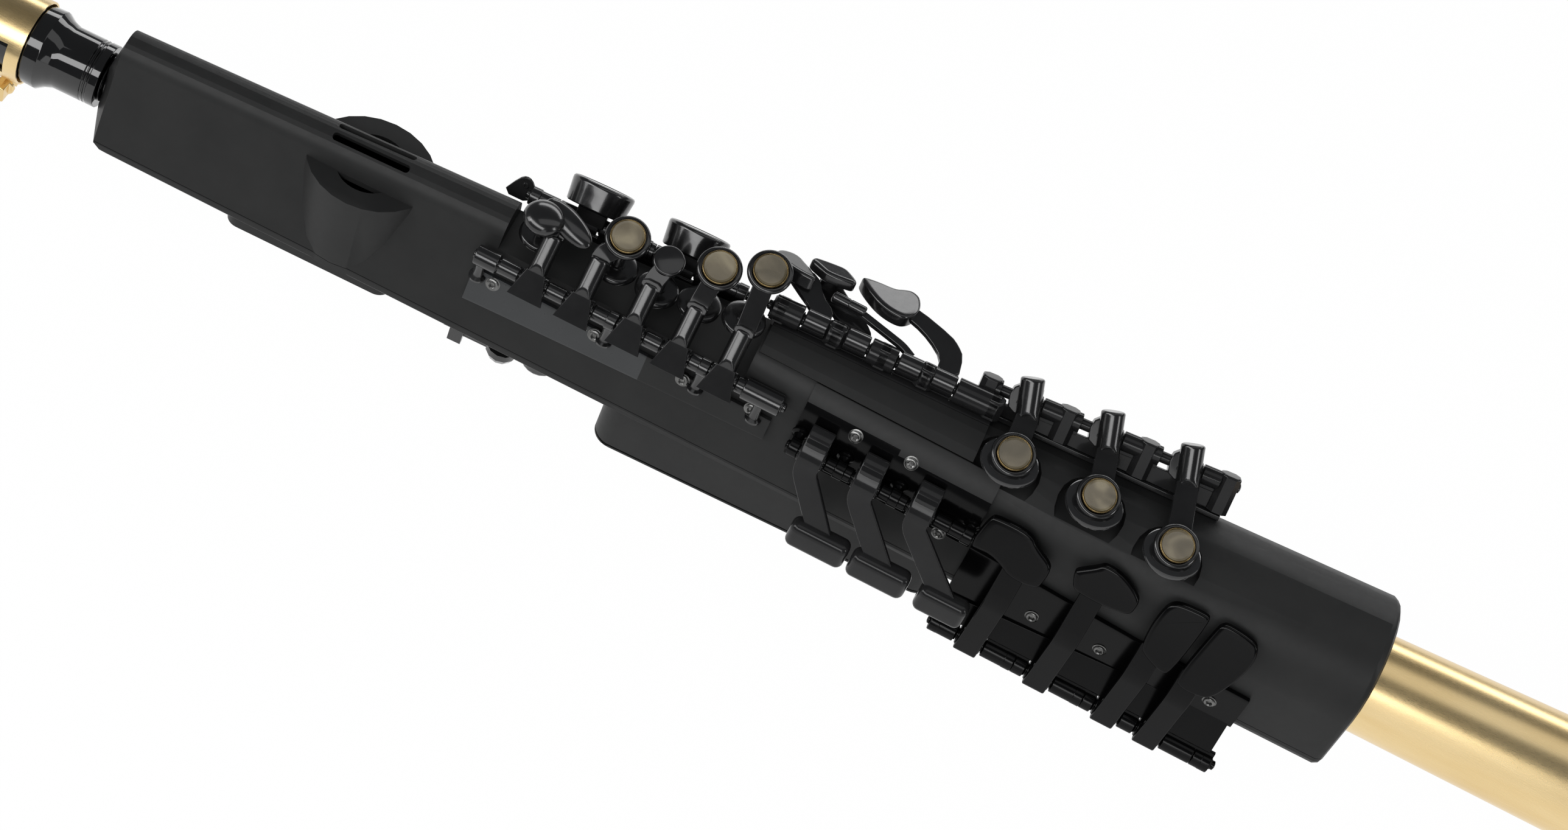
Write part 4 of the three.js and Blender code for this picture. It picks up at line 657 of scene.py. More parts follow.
def sheet_plate(bm, side, size, lift):
    """A skin on the casing between two distances from the crown's top, with softened edges."""
    edge, steps, slices = .5, 14, 12
    soft = edge * .3
    rings = []
    for k in range(slices + 1):
        x = size["start"] + (size["end"] - size["start"]) * (k / slices)
        crown = station_at(x)["crown"]
        top = edge_at(x, size, "top", side) if "top" in size else math.radians(size["from"]) * crown
        foot = edge_at(x, size, "foot", side) if "foot" in size else math.radians(size["to"]) * crown
        outer = [top, top + soft, top + edge]
        outer += [top + edge + (foot - top - 2 * edge) * i / steps for i in range(1, steps)]
        outer += [foot - edge, foot - soft, foot]
        drop = [edge, soft] + [0] * (len(outer) - 4) + [soft, edge]
        ring = [skin_point(x, side, a, lift + PLATE - d)[0] for a, d in zip(outer, drop)]
        ring += [skin_point(x, side, a, lift)[0] for a in reversed(outer)]
        rings.append(add_ring(bm, ring))
    skin(bm, rings)


def post_foot(row, x, side, size):
    """A post's centre on the rod, and where its stem meets the plate."""
    start, end = ends_of(row)
    inset = 3
    centre = start + (end - start) * ((x - start.x) / (end.x - start.x))
    at = station_at(x)
    angle = math.atan2(centre.z - at["z"], abs(centre.y))
    along = (QUARTER - angle) * at["crown"]
    if along > (QUARTER - at["flare"]) * at["crown"]:
        along = down_to(x, centre.z, side)
    if "top" in size:
        top = edge_at(x, size, "top", side) + inset
        along = min(max(along, top), edge_at(x, size, "foot", side) - inset)
    point, _out = skin_point(x, side, along, GAP + PLATE)
    return centre, point


def free_spans(row, hubs, wide):
    """The stretches of a rod, in its own length, that no key covers."""
    start, end = ends_of(row)
    marks = [0] + [x + sign * wide / 2 for x in sorted(hubs) for sign in (-1, 1)] + [(end - start).length]
    return list(zip(marks[::2], marks[1::2]))


def rail(bm, row, side, size, spans):
    """A wall that closes the space between a plate and the hubs on its rod."""
    thick, below, overlap, over = 2.4, 4.6, 1, 1.6
    start, end = ends_of(row)
    way = (end - start).normalized()
    near, near_foot = post_foot(row, row["posts"][0], side, size)
    far, far_foot = post_foot(row, row["posts"][-1], side, size)
    upward = near - near_foot
    upward = (upward - way * upward.dot(way)).normalized()
    reach = (far - near).length
    deep, far_deep = (near - near_foot).length, (far - far_foot).length
    outline = [(0, -deep), (reach, -far_deep), (reach, -below), (0, -below)]
    third = way.cross(upward) * thick / 2
    pillow(bm, outline, thick, near + third, way, upward, .5, .5, rounds=0)
    foot = -below - overlap
    for low, high in spans:
        panel = [(low, foot), (high, foot), (high, -over), (low, -over)]
        pillow(bm, panel, thick, start + third, way, upward, .4, .4, rounds=0)


ROD = {"radius": 2.4, "edge": .5, "tip": .2}
ROD_TIP = [(0, -.6), (1.7, -.6), (2, -.2), (2, .9), (1.2, 1.3), (1.2, .7), (0, .7)]
WASHER = [(2.35, -.3), (3, -.3), (3.2, 0), (3, .3), (2.35, .3)]
WASHER_OFF = .75
SLEEVE = {"off": .8, "least": 3, "slit": .3, "edge": .35}
KNUCKLE = {"bore": 2.3, "half": 2.2, "edge": .5}
END_EDGE = .6


def sleeves(bm, start, way, spans, look):
    """Sleeves in rows on the free stretches of a rod; returns the stretches that they cover."""
    least = SLEEVE["least"]
    covered = []
    for low, high in spans:
        low = max(low + SLEEVE["off"], 1)
        high -= SLEEVE["off"] + look.get("slit_before", 0)
        if high - low > least:
            covered.append((low, high))
        while high - low > least:
            stop = min(high, low + look["sleeve_long"])
            if high - stop < least:
                stop = high
            shut = start + way * (stop - SLEEVE["slit"])
            rod_between(bm, look["sleeve"], start + way * low, shut, SLEEVE["edge"])
            low = stop
    return covered


def post(bm, centre, foot, way, look):
    """A knuckle round the rod, on a block or a waisted stem that stands on the plate."""
    edge = KNUCKLE["edge"]
    wall, half = look["knuckle"] - edge, KNUCKLE["half"] - edge
    profile = [(KNUCKLE["bore"], -KNUCKLE["half"])] + fillet((wall, -half), edge, -QUARTER, 0)
    profile += fillet((wall, half), edge, 0, QUARTER) + [(KNUCKLE["bore"], KNUCKLE["half"])]
    lathe(bm, profile, centre, way, 32, closed=True)
    down = foot - centre
    long = down.length
    if look.get("blocks"):
        h = look["blocks"] / 2
        outline = [(-h, -h), (h, -h), (h, h), (-h, h)]
        thick = long + h - .4
        top = centre - down.normalized() * h
        pillow(bm, outline, thick, top, way, way.cross(down), .9, .1, rounds=1, steps=3)
    elif not look.get("rail"):
        waist = [(0, 0), (2.6, 0), (2.4, long * .25), (2.1, long * .55), (2.4, long - 1.6)]
        lathe(bm, waist + [(3.6, long - .9), (3.6, long + .1), (0, long + .1)], centre, down, 28)


def rod_and_posts(bm, row, side, size, hubs, wide, look):
    start, end = ends_of(row)
    way = (end - start).normalized()
    rod_between(bm, ROD["radius"], start, end, ROD["edge"])
    for tip, sign in ((start, -1), (end, 1)):
        lathe(bm, ROD_TIP, tip + way * sign * ROD["tip"], way * sign, 24)
    covered = sleeves(bm, start, way, free_spans(row, hubs, wide), look)
    for x in row["posts"]:
        centre, foot = post_foot(row, x, side, size)
        post(bm, centre, foot, way, look)
    for x in hubs:
        for sign in (-1, 1):
            lathe(bm, WASHER, start + way * (x + sign * (wide / 2 + WASHER_OFF)), way, 28, closed=True)
    for low, high, radius in look.get("ends", []):
        rod_between(bm, radius, start + way * low, start + way * high, END_EDGE, 40)
    if look.get("rail"):
        rail(bm, row, side, size, covered)


# Screws
RECESS_FROM, RECESS_FLAT = 7, .9
SCREW = [
    (0, -.8), (3.1, -.8), (3.1, .2), (2.6, .35), (2.6, .9), (2.125, 1.3), (1.5, 1.35), (1.125, 1),
    (1.125, .4), (0, .3),
]


def hexed(index, angle):
    """Draws the screw's recess as a hexagon."""
    if index < RECESS_FROM:
        return 1
    part = (angle % (math.pi / 3)) - math.pi / 6
    return RECESS_FLAT / math.cos(part)


def screws(name, places):
    """Screw heads on a plate, each at an X and a height in the picture plane."""
    bm = bmesh.new()
    for x, height in places:
        point, out = on_skin(x, height, GAP + PLATE)
        lathe(bm, SCREW, point, out, 36, lobes=hexed)
    piece(name, bm, WHOLE, "instrument", [screw_mat])


# Pearls and their rings
PEARL = {"radius": 7.3, "ring": 9.4, "deep": 4.6, "seat": 1.6, "tilt": math.radians(22)}
PEARL_SIDES = 56
LEAN = Vector((0, -math.sin(PEARL["tilt"]), math.cos(PEARL["tilt"])))


def pearl_piece(name, place, matrix, body):
    """A dished disc in a metal rim."""
    r = PEARL["radius"]
    foot = GAP - PEARL["seat"]
    flat, steps, high, dished = r - .8, 8, .98, .7
    bm = bmesh.new()
    rim = [(0, foot), (r, foot), (r, .35), (r - .1, .75), (r - .3, .98), (r - .55, 1.04)]
    lathe(bm, rim + [(r - .75, .95), (r - 1.2, .2), (0, .1)], place, LEAN, PEARL_SIDES, mat=1)
    dish = [(0, .8), (flat, .8), (flat, 1.02)]
    dish += [(flat * (1 - k / steps), high - dished * (1 - (1 - k / steps) ** 2)) for k in range(steps)]
    lathe(bm, dish + [(0, high - dished)], place, LEAN, PEARL_SIDES)
    piece(name + "_disc", bm, matrix, body, [pearl, pearl_rim], (name,))


def pearl_ring(bm, place, deep):
    """The black cup that a pearl sits in."""
    r, seat, edge = PEARL["ring"], PEARL["radius"] + GAP, 1.5
    profile = [(0, -deep), (r - 2.2, -deep), (r - 1.6, -deep + .4), (r - .5, -2.8)]
    profile += fillet((r - edge, -edge), edge, -.4, QUARTER, 8)
    profile += [(seat + .2, 0), (seat, -.2), (seat, -PEARL["seat"]), (0, -PEARL["seat"])]
    lathe(bm, profile, place, LEAN, PEARL_SIDES)


# Left-hand stack
SLOPE = math.sqrt(.5)
LEFT_ROW = {"start": (172, -19.2, 23), "end": (309, -22.6, 23.4), "posts": [174.5, 232.2, 273.7, 300]}
LEFT_PLATE = {"start": 172, "end": 307, "top": (12, 12), "foot": (-3, 1.6)}
LEFT_KEYS = [
    (197.2, "dome", -6.5, 12, 24, -6.5),
    (217.8, "pearl", 5.8, 20.5, 27, 5.8),
    (240.8, "button", 1.6, 20.5, 25.5, 1.6),
    (261, "pearl", .8, 26, 29, -.6),
    (282, "pearl", -1.6, 33, 33, -2.6),
]
HEADED_FROM = 3


def slope_point(distance, lift):
    """A point a distance up the slope of the left-hand arms, and a lift off it."""
    return Vector((0, (distance - lift) * SLOPE, (distance + lift) * SLOPE))


def left_cup(bm, x, z, under):
    """The cup below a key's touch, and the stem that joins them."""
    top = Vector((x, 19, z - 16))
    rod_between(bm, 2.6, under, top - Vector((0, 0, 1.5)), .3, 24)
    cup = [(0, -3), (8.6, -3), (9.2, -2.5), (9.2, -1.4), (8.9, -.7), (8.2, -.2)]
    lathe(bm, cup + [(6, 0), (3.4, 0), (3.2, .6), (0, .6)], top, (0, 0, 1), 48)


def left_touch(bm, shape, place):
    """What the finger lies on: a pearl's ring, a button or a dome with a tail."""
    if shape == "pearl":
        pearl_ring(bm, place, PEARL["deep"])
    elif shape == "button":
        r = 6.6
        button = [(0, -4.6), (r - 1, -4.6), (r - .2, -3.6), (r, -1.6)]
        button += fillet((r - 1.4, -1.2), 1.4, 0, 1.2, 5)
        lathe(bm, button + [(r - 2.6, .35), (r - 4.4, .55), (0, .7)], place, LEAN, 48)
    else:
        ellipsoid(bm, place, (8.6, 8.6, 5.2))
        turn = Matrix.Rotation(PEARL["tilt"], 4, "X") @ Matrix.Rotation(math.radians(-23), 4, "Z")
        ellipsoid(bm, (2.8, 16, 23), (13, 5.6, 3.6), turn)


def left_key(index, x, shape, across, y, z, cup_x):
    name = f"left_key_{index}"
    bm = bmesh.new()
    hub(bm, 11)
    hub_faces = len(bm.faces)
    tilt = math.radians(8.9)
    rise = slope_point(math.cos(tilt), math.sin(tilt))
    skirt = [(-7.5, -8), (7.5, -8), (4.1, 4.6), (-4.1, 4.6)]
    pillow(bm, skirt, 2.2, slope_point(0, 6.65), (1, 0, 0), rise, .4, .25, rounds=0, steps=3)
    root = [(-5.4, -4.2), (5.4, -4.2), (4, 5), (-4, 5)]
    pillow(bm, root, 4.6, slope_point(0, 4.6), (1, 0, 0), (0, SLOPE, SLOPE), .3, .3, rounds=1, steps=2)
    # Skirt and root take the lighter copy of the key gloss: painted reflection.
    paint(bm, 1, hub_faces)
    cut_barrel(bm, 4.1, slope_point(3, 4.6), slope_point(20.2, 4.6), (0, -1, 1), 4.6)
    barrel_faces = len(bm.faces)
    place = Vector((across, y, z))
    under = place - LEAN * (PEARL["deep"] - 1.2)
    if index >= HEADED_FROM:
        head = [(-4.3, 18.4), (4.3, 18.4), (4.3, 22.6), (-4.3, 22.6)]
        pillow(bm, head, 6.6, slope_point(0, 7.6), (1, 0, 0), (0, SLOPE, SLOPE), .6, .4, rounds=1, steps=3)
    arm = eased([slope_point(19, 3.4), slope_point(23, 3.4), under + Vector((0, -4, .6)), under], 3)
    sweep(bm, arm, 8.4, 3, edge=.6)
    # Head and arm take the lighter copy of the key gloss: painted reflection.
    paint(bm, 1, barrel_faces)
    left_cup(bm, cup_x, z, under)
    left_touch(bm, shape, place)
    matrix = row_matrix(LEFT_ROW, x - LEFT_ROW["start"][0])
    piece(name + "_smooth", bm, matrix, name, [key_gloss, lighter_gloss_painted_reflection], (name,))
    if shape == "pearl":
        pearl_piece(f"left_pearl_{index}", place, matrix, name)


# Right-hand stack
RIGHT_ROW = {"start": (378, 19, 42.4), "end": (489, 26, 43.6), "posts": [380.5, 414.5, 449.5, 485]}
RIGHT_PLATE = {"start": 379, "end": 488, "from": 28, "foot": (12, 8)}
RIGHT_KEYS = [(19.8, .6, 30, 2), (55, 3, 33, 2.4), (90, 3.6, 41, 3)]


def right_key(index, x, across, reach, drop):
    name = f"right_key_{index}"
    bm = bmesh.new()
    hub(bm, 10)
    lean = math.radians(43)
    way = Vector((-.26, math.sin(lean), math.cos(lean)))
    front = Vector((0, -math.cos(lean), math.sin(lean)))
    lift = front * 4.4
    cut_barrel(bm, 5, lift - way * 8, lift + way * 9.2, front, 4.4)
    seat = Vector((across, -reach, 3.4 - drop))
    inner = seat.y + PEARL["ring"] - 2
    barrel_faces = len(bm.faces)
    block(bm, (-4, -3.6, -1), (4, 4, 6), .6)
    shoulder = [(-8.4, -5.2), (3, -5.2), (3.2, 7), (-1.6, 8.4), (-8.4, 4.6)]
    pillow(bm, shoulder, 6, lift * .8, way.cross(front).normalized(), way, .6, .4, rounds=1, steps=3)
    root = [lift + front * 1.6 - way * 2, lift + front * 1.2 - way * 5.2]
    arm = eased(root + [(across * .9, inner, seat.z - 1.8)], 4, 7)
    sweep(bm, arm, 9.6, 2.6, edge=.6, widths=lambda t: .8 + .24 * t - .1 * math.sin(math.pi * t))
    arm_faces = len(bm.faces)
    pearl_ring(bm, seat, 6)
    ring_faces = len(bm.faces)
    disc = [(0, -7.2), (11.6, -7.2), (12.3, -6.7), (12.4, -6.1), (12.1, -5.4), (11.3, -5.05)]
    lathe(bm, disc + [(9, -5), (0, -5)], seat, (0, 0, 1), 56)
    # The disc round the ring takes the lighter disc copy of the key gloss: painted reflection.
    paint(bm, 1, ring_faces)
    # Block, shoulder and arm take the lighter copy of the key gloss: painted reflection.
    paint(bm, 2, barrel_faces, arm_faces)
    matrix = row_matrix(RIGHT_ROW, x)
    piece(name + "_smooth", bm, matrix, name, [key_gloss, dish_gloss_painted_reflection, lighter_gloss_painted_reflection], (name,))
    pearl_piece(f"right_pearl_{index}", seat, matrix, name)


# Table keys
TABLE_ROW = {"start": (287, 8.4, 41.1), "end": (388, 10.6, 41.3), "posts": [291.6, 315.5, 336.5, 355.5, 385]}
TABLE_PLATE = {"start": 291, "end": 387, "from": 7, "to": 26}
TABLE_KEYS = [
    (19.5, (-16.8, 20.5, 7.5), 27, 6, [
        (-9.8, 1.8), (-9.4, 4.6), (-7.7, 6.7), (-5, 8), (-2.2, 8.2), (.6, 6.6), (2.8, 3.6), (5.8, 0),
        (8.3, -4.3), (9.7, -8.5), (7.4, -9.5), (.8, -8.3), (-4.6, -5.5), (-8.2, -3.2),
    ], 1.6, 7, [
        (-4.8, 2), (4.8, 2), (4.8, 7), (-2, 12), (-5, 18), (-10, 21), (-20, 21), (-21, 16), (-12, 9),
        (-4.8, 4),
    ]),
    (37.6, (-20.1, 23.7, 8.9), 20, 4.6, [
        (-9.8, 3), (-8.6, 4.2), (1.5, 5.9), (4, 5.7), (6.1, 4.4), (10.1, .1), (10.3, -2.5), (8.6, -3.8),
        (-1.9, -5.2), (-5.6, -2.8), (-10.2, .3),
    ], -1.6, 0, [
        (-4.8, 2), (4.8, 2), (4.8, 7), (1, 12), (-12, 22), (-15, 26), (-24, 26), (-24, 21), (-15, 10),
        (-4.8, 4),
    ]),
    (61, None, 0, 0, [], 0, 0, []),
    (76, (-33.5, 21.7, 8.8), 12, 6, [
        (-13.7, 6.4), (-12.2, 7.8), (-6.1, 8.8), (.7, 8.9), (4.1, 11.3), (7.3, 12.7), (10.5, 11.5),
        (12.1, 9.2), (13.3, 4.1), (12.7, -1.2), (10.2, -5.5), (7.1, -7.3), (1.3, -6.6), (-4.4, -3.8),
        (-10.8, 2),
    ], 2, 7.5, [
        (-4.8, 2), (4.8, 2), (3.4, 13), (0, 17), (-4.2, 20), (-20, 25.2), (-26, 25.2), (-26, 19), (-20, 18),
        (-12, 14), (-5, 8),
    ]),
]
TABLE_COVER = [
    (-4.6, 1.6), (-3, 4.8), (0, 5.8), (2.8, 5), (4.8, 2), (4.6, -1.4), (2.6, -3.6), (0, -3.6), (-2.6, -2.4),
]


def table_key(index, x, touch, tilt, thick, outline, arm_z, slope, arm):
    name = f"table_key_{index}"
    bm = bmesh.new()
    hub(bm, 10)
    if touch:
        t, s = math.radians(tilt), math.radians(slope)
        pillow(bm, outline, thick, touch, (1, 0, 0), (0, math.cos(t), -math.sin(t)), 1.3, .8, crown=.2)
        top = Vector((0, 0, arm_z)) + Vector((0, -math.sin(s), math.cos(s))) * 2.4
        pillow(bm, arm, 2.4, top, (1, 0, 0), (0, math.cos(s), math.sin(s)), .6, .3, rounds=1, steps=3)
        if index == 2:
            px, py, pz = touch
            block(bm, (px - 3.5, py - 2.5, arm_z), (px + 3.5, py + 2.5, pz - thick), .5)
    else:
        roller = [(0, 0)] + fillet((1.4, 1), 1, -QUARTER, 0) + [(2.4, 7), (2.1, 7.4), (2.4, 7.8)]
        roller += fillet((1.4, 14), 1, 0, QUARTER) + [(0, 15)]
        lathe(bm, roller, (-25, 12.8, 5), (-15, 1, 0), 36)
        path = eased([(-1, 3, 3), (-6, 5.4, 4.2), (-27.4, 12.8, 3.8)], 4)
        sweep(bm, path, 3.4, 2.4, across=(.4, 1, 0))
    rings = []
    for at, share in ((-4.9, .93), (-4.5, 1), (4.5, 1), (4.9, .93)):
        rings.append(add_ring(bm, [Vector((at, a * share, b * share)) for a, b in chaikin(TABLE_COVER, 2)]))
    skin(bm, rings)
    piece(name + "_smooth", bm, row_matrix(TABLE_ROW, x), name, [key_gloss], (name,))


# Side keys
SIDE_ROW = {"start": (318, -31, 14), "end": (400, -33, 13.5), "posts": [320, 340.5, 365, 398]}
SIDE_PLATE = {"start": 317, "end": 401, "from": 34, "foot": (1, 1)}
SIDE_KEYS = [(10, 18, 26), (34.3, 21.2, 26), (59, 25, 22)]


def side_key(index, x, slide, long):
    name = f"side_key_{index}"
    bm = bmesh.new()
    hub(bm, 11)
    bend = [(0, 5.2, 4.6), (0, 5.6, 11.4), (0, 1.4, 11.2), (0, -5.8, 4.6), (0, -6.9, -2.4)]
    sweep(bm, eased(bend + [(slide, -14, -27)], 3.4), 10, 2.4, edge=.6)
    block(bm, (-4.6, -3.6, 1), (4.6, 4.6, 10.6), .5)
    cushion(bm, (slide, -13.9, -30), long, 14, 8.6, 3.2)
    # The side key takes the lighter copy of the key gloss: painted reflection.
    piece(name + "_smooth", bm, row_matrix(SIDE_ROW, x), name, [lighter_gloss_painted_reflection], (name,))


# Low keys
LOW_ROW = {"start": (402, -38.2, -39.5), "end": (532, -41.2, -42.2), "posts": [404, 438, 470, 529]}
LOW_PLATE = {"start": 402, "end": 531, "top": (2, -4), "foot": (-39, -42)}
LOW_KEYS = [
    (18, 56, [
        (-20.6, 5.3), (-20.7, 9.5), (-18.9, 19.3), (-16.3, 20.8), (-1.5, 20.9), (3.6, 16.3), (10.7, 12.8),
        (12.5, 10.1), (11.9, 2), (10.2, .5), (4.6, -.7), (-2, -.2), (-6.1, 2.3), (-12.5, 4.6), (-19.3, 3.8),
    ]),
    (50, 62, [
        (-11.4, 14.9), (-10.3, 16.6), (-4.2, 21.4), (-1.8, 24.2), (7.3, 23.2), (16.4, 17.7), (17.3, 15),
        (16.9, 10.3), (14.9, 8.5), (4.2, 7.1), (-5.6, 7.3), (-9.1, 8.6),
    ]),
    (81.5, 50, [
        (-2.7, 22.3), (1.1, 24.1), (12.3, 24.7), (13.9, 22.9), (11.2, -5), (8, -7.7), (-2.5, -3.6),
        (-4.7, -.4), (-5.4, 9.2), (-4.5, 18.5),
    ]),
    (101, 48, [
        (-1, 23.8), (2, 25.3), (14.2, 23.8), (17, 21), (18, 15), (15.9, 4.7), (11.3, -6.5), (6.9, -9.2),
        (-2.6, -9.6), (-5.7, -6.2), (-2, 19.5),
    ]),
]


def low_key(index, x, top, outline):
    name = f"low_key_{index}"
    lean = math.radians(24)
    bm = bmesh.new()
    hub(bm, 11)
    outside, bend, mid = -6, 36, 1.2
    end = outside - 1 + (top - bend) * math.tan(lean)
    foot = [(0, -1.5, -3), (0, outside + mid, -2.6), (0, outside - 1 + mid, bend)]
    path = eased(foot + [(0, end + mid, top)], 5, 7)
    sweep(bm, path, 10, 2.4, edge=.6)
    pillow(bm, outline, 4, (0, -1.5, 50), (1, 0, 0), (0, math.sin(lean), math.cos(lean)), 1.2, .6, crown=.12)
    # The low key takes the darker copy of the key gloss: painted shade.
    piece(name + "_smooth", bm, row_matrix(LOW_ROW, x), name, [painted_shade_gloss], (name,))


# Palm keys
PALM_ROW = {"start": (178, 21, 24), "end": (276, 22.5, 24), "posts": [180.5, 222, 230, 273.5]}
PALM_PLATE = {"start": 179, "end": 275, "top": (16, 14), "foot": (2, 2)}
PALM_KEYS = [(27,), (70,)]


def palm_key(index, x):
    name = f"palm_key_{index}"
    bm = bmesh.new()
    hub(bm, 9)
    lean = math.radians(46)
    way = Vector((0, math.sin(lean), math.cos(lean)))
    drum = [
        (0, 0), (12, 0), (12.6, .5), (13.2, 6), (13.6, 9.2), (13.5, 10.2), (13, 10.8), (12.2, 11),
        (11.6, 10.7), (11.2, 10.6),
    ]
    (wide, low), dome, steps = drum[-1], .35, 8
    drum += [(wide * (1 - k / steps), low + dome * (1 - (1 - k / steps) ** 2)) for k in range(1, steps + 1)]
    lathe(bm, drum, Vector((0, 3.5, 9)) - way * 3.5, way, 64)
    sweep(bm, eased([(0, 0, 2), (0, .4, 5), (0, 1.2, 8)], 2), 13, 7, edge=.6)
    piece(name + "_smooth", bm, row_matrix(PALM_ROW, x), name, [key_gloss], (name,))


KEYS = (
    (left_key, LEFT_KEYS), (right_key, RIGHT_KEYS), (table_key, TABLE_KEYS),
    (side_key, SIDE_KEYS), (low_key, LOW_KEYS), (palm_key, PALM_KEYS),
)
for make_key, rows in KEYS:
    for number, row in enumerate(rows, 1):
        make_key(number, *row)


# Plates with their posts and rods
# The second number is how far a side-plate face must point up or down to take satin: painted light.
SATIN_FROM, PAINTED_LIGHT_SLOPE = 253, .55


def hubs_of(keys, start=0):
    """Where the keys of a row sit on its rod."""
    return [key[0] - start for key in keys]


CARRIERS = [
    ("left", NEAR, LEFT_ROW, LEFT_PLATE, hubs_of(LEFT_KEYS, LEFT_ROW["start"][0]), 11, plate_mat,
     {"sleeve": 3.4, "sleeve_long": 9, "knuckle": 3.9, "ends": [(-.5, 9.5, 4.3), (119.5, 136.5, 4.7)]}),
    # The right and table carriers take the lighter copy of the key gloss: painted reflection.
    ("right", FAR, RIGHT_ROW, RIGHT_PLATE, hubs_of(RIGHT_KEYS), 10, lighter_gloss_painted_reflection,
     {"sleeve": 4.1, "sleeve_long": 15, "knuckle": 4.2, "blocks": 8.6, "rail": True, "slit_before": 6.3}),
    ("table", FAR, TABLE_ROW, TABLE_PLATE, hubs_of(TABLE_KEYS), 10, lighter_gloss_painted_reflection,
     {"sleeve": 5.4, "sleeve_long": 30, "knuckle": 5.4, "blocks": 8.6, "rail": True}),
    # The side and low carriers take the darker copy of the key gloss: painted shade.
    ("side", NEAR, SIDE_ROW, SIDE_PLATE, hubs_of(SIDE_KEYS), 11, painted_shade_gloss,
     {"sleeve": 3.3, "sleeve_long": 7, "knuckle": 4}),
    ("low", NEAR, LOW_ROW, LOW_PLATE, hubs_of(LOW_KEYS), 11, painted_shade_gloss,
     {"sleeve": 4.1, "sleeve_long": 14, "knuckle": 4.2, "rail": True}),
    ("palm", FAR, PALM_ROW, PALM_PLATE, hubs_of(PALM_KEYS), 9, key_gloss,
     {"sleeve": 3.6, "sleeve_long": 12, "knuckle": 4, "rail": True}),
]


def satin_or_painted_light(label, face):
    """The left plate's far end is satin; the side plate's level faces take satin too, picked by which way
    they face, so their tone is painted light.
    """
    if label == "left":
        return face.calc_center_median().x > SATIN_FROM
    return label == "side" and abs(face.normal.z) > PAINTED_LIGHT_SLOPE


def carrier(label, side, row, size, hubs, wide, mat, look):
    """The plate of a row of keys with its posts and its rod."""
    bm = bmesh.new()
    sheet_plate(bm, side, size, .5 if label == "palm" else GAP)
    plate_faces = len(bm.faces)
    rod_and_posts(bm, row, side, size, hubs, wide, look)
    paint(bm, 1, plate_faces)
    bm.normal_update()
    # Satin on the left plate's far end, and on the side plate's faces by which way they face: painted light.
    for face in bm.faces[:plate_faces]:
        if satin_or_painted_light(label, face):
            face.material_index = 2
    fittings = key_gloss if label in ("left", "palm") else mat
    piece(f"{label}_plate_smooth", bm, WHOLE, "instrument", [mat, fittings, satin], (f"{label}_plate",))


for row in CARRIERS:
    carrier(*row)


def palm_tab():
    """The ear with a rivet at the end of the palm keys' rod."""
    _x, rod_y, rod_z = PALM_ROW["start"]
    upward = Vector((0, .3, .954))
    ear = [(166.5, -4.5), (179.4, -4.5), (179.2, 3), (176.8, 6), (174, 6.6), (171.4, 4.6)]
    bar = [(178, .6), (191.5, .6), (191.5, 3.4), (178, 3)]
    rivet_x, rivet_up = 175.1, 2.9
    bm = bmesh.new()
    for outline in (ear, bar):
        pillow(bm, outline, 1.6, (0, rod_y, rod_z), (1, 0, 0), upward, .4, .3, rounds=1, steps=3)
    seat = Vector((rivet_x, rod_y, rod_z)) + upward * rivet_up
    rivet = [(0, -.3), (1.4, -.3), (1.4, .2), (1.1, .5), (.6, .5), (.6, .1), (0, .1)]
    lathe(bm, rivet, seat, Vector((1, 0, 0)).cross(upward), 28)
    # The tab takes the lighter copy of the key gloss: painted reflection.
    piece("palm_tab", bm, WHOLE, "instrument", [lighter_gloss_painted_reflection])


palm_tab()
screws("left_screws", [(181.7, -8.1), (227.9, -8.9), (267.7, -9.8), (297.8, -8.4)])
screws("side_screws", [(340.4, -.1), (365.1, -.2), (387.8, -20.9)])
screws("low_screws", [(437.7, -35.2), (468.3, -36.6), (517.5, -37.9)])


# Bell
BELL_LONG, CONE_SHARE = 189, .6243
BELL = {"inner": 546, "start": 21.2, "cone": 23.9, "foot": 51, "power": 2.7, "wall": 1, "rim": 1.6}
BELL["mouth"] = BELL["inner"] + BELL_LONG
BELL["cone_end"] = BELL["inner"] + BELL_LONG * CONE_SHARE


def bell_cone(x):
    """The radius of the bell's straight cone, carried on past its end."""
    b = BELL
    return b["start"] + (b["cone"] - b["start"]) * (x - b["inner"]) / (b["cone_end"] - b["inner"])


def bell_radius(x):
    """The cone, and past its end the flare on top of it."""
    b = BELL
    if x <= b["cone_end"]:
        return bell_cone(x)
    share = (x - b["cone_end"]) / (b["mouth"] - b["cone_end"])
    return bell_cone(x) + (b["foot"] - b["rim"] - bell_cone(b["mouth"])) * share ** b["power"]


def bell_piece():
    b = BELL
    steps, flare = 32, b["mouth"] - b["cone_end"]
    xs = [b["inner"]] + [b["cone_end"] + flare * k / steps for k in range(steps + 1)]
    outside = [(bell_radius(x), x) for x in xs]
    rim = fillet((bell_radius(b["mouth"]), b["mouth"]), b["rim"], -QUARTER, QUARTER, 12)
    inside = [(bell_radius(x) - b["wall"], max(x, b["inner"] + b["wall"])) for x in reversed(xs)]
    profile = [(0, b["inner"])] + outside + rim + inside + [(0, b["inner"] + b["wall"])]
    bm = bmesh.new()
    lathe(bm, profile, (0, 0, 0), (1, 0, 0), 128)
    piece("bell_smooth", bm, WHOLE, "instrument", [brass], ("bell",))


bell_piece()


# What keeps its own shape
DRAWN_ROWS = ("left_", "right_", "table_", "side_", "low_", "palm_")
for name in nodes:
    if name != "bell" and not name.startswith(DRAWN_ROWS):
        dress(name)


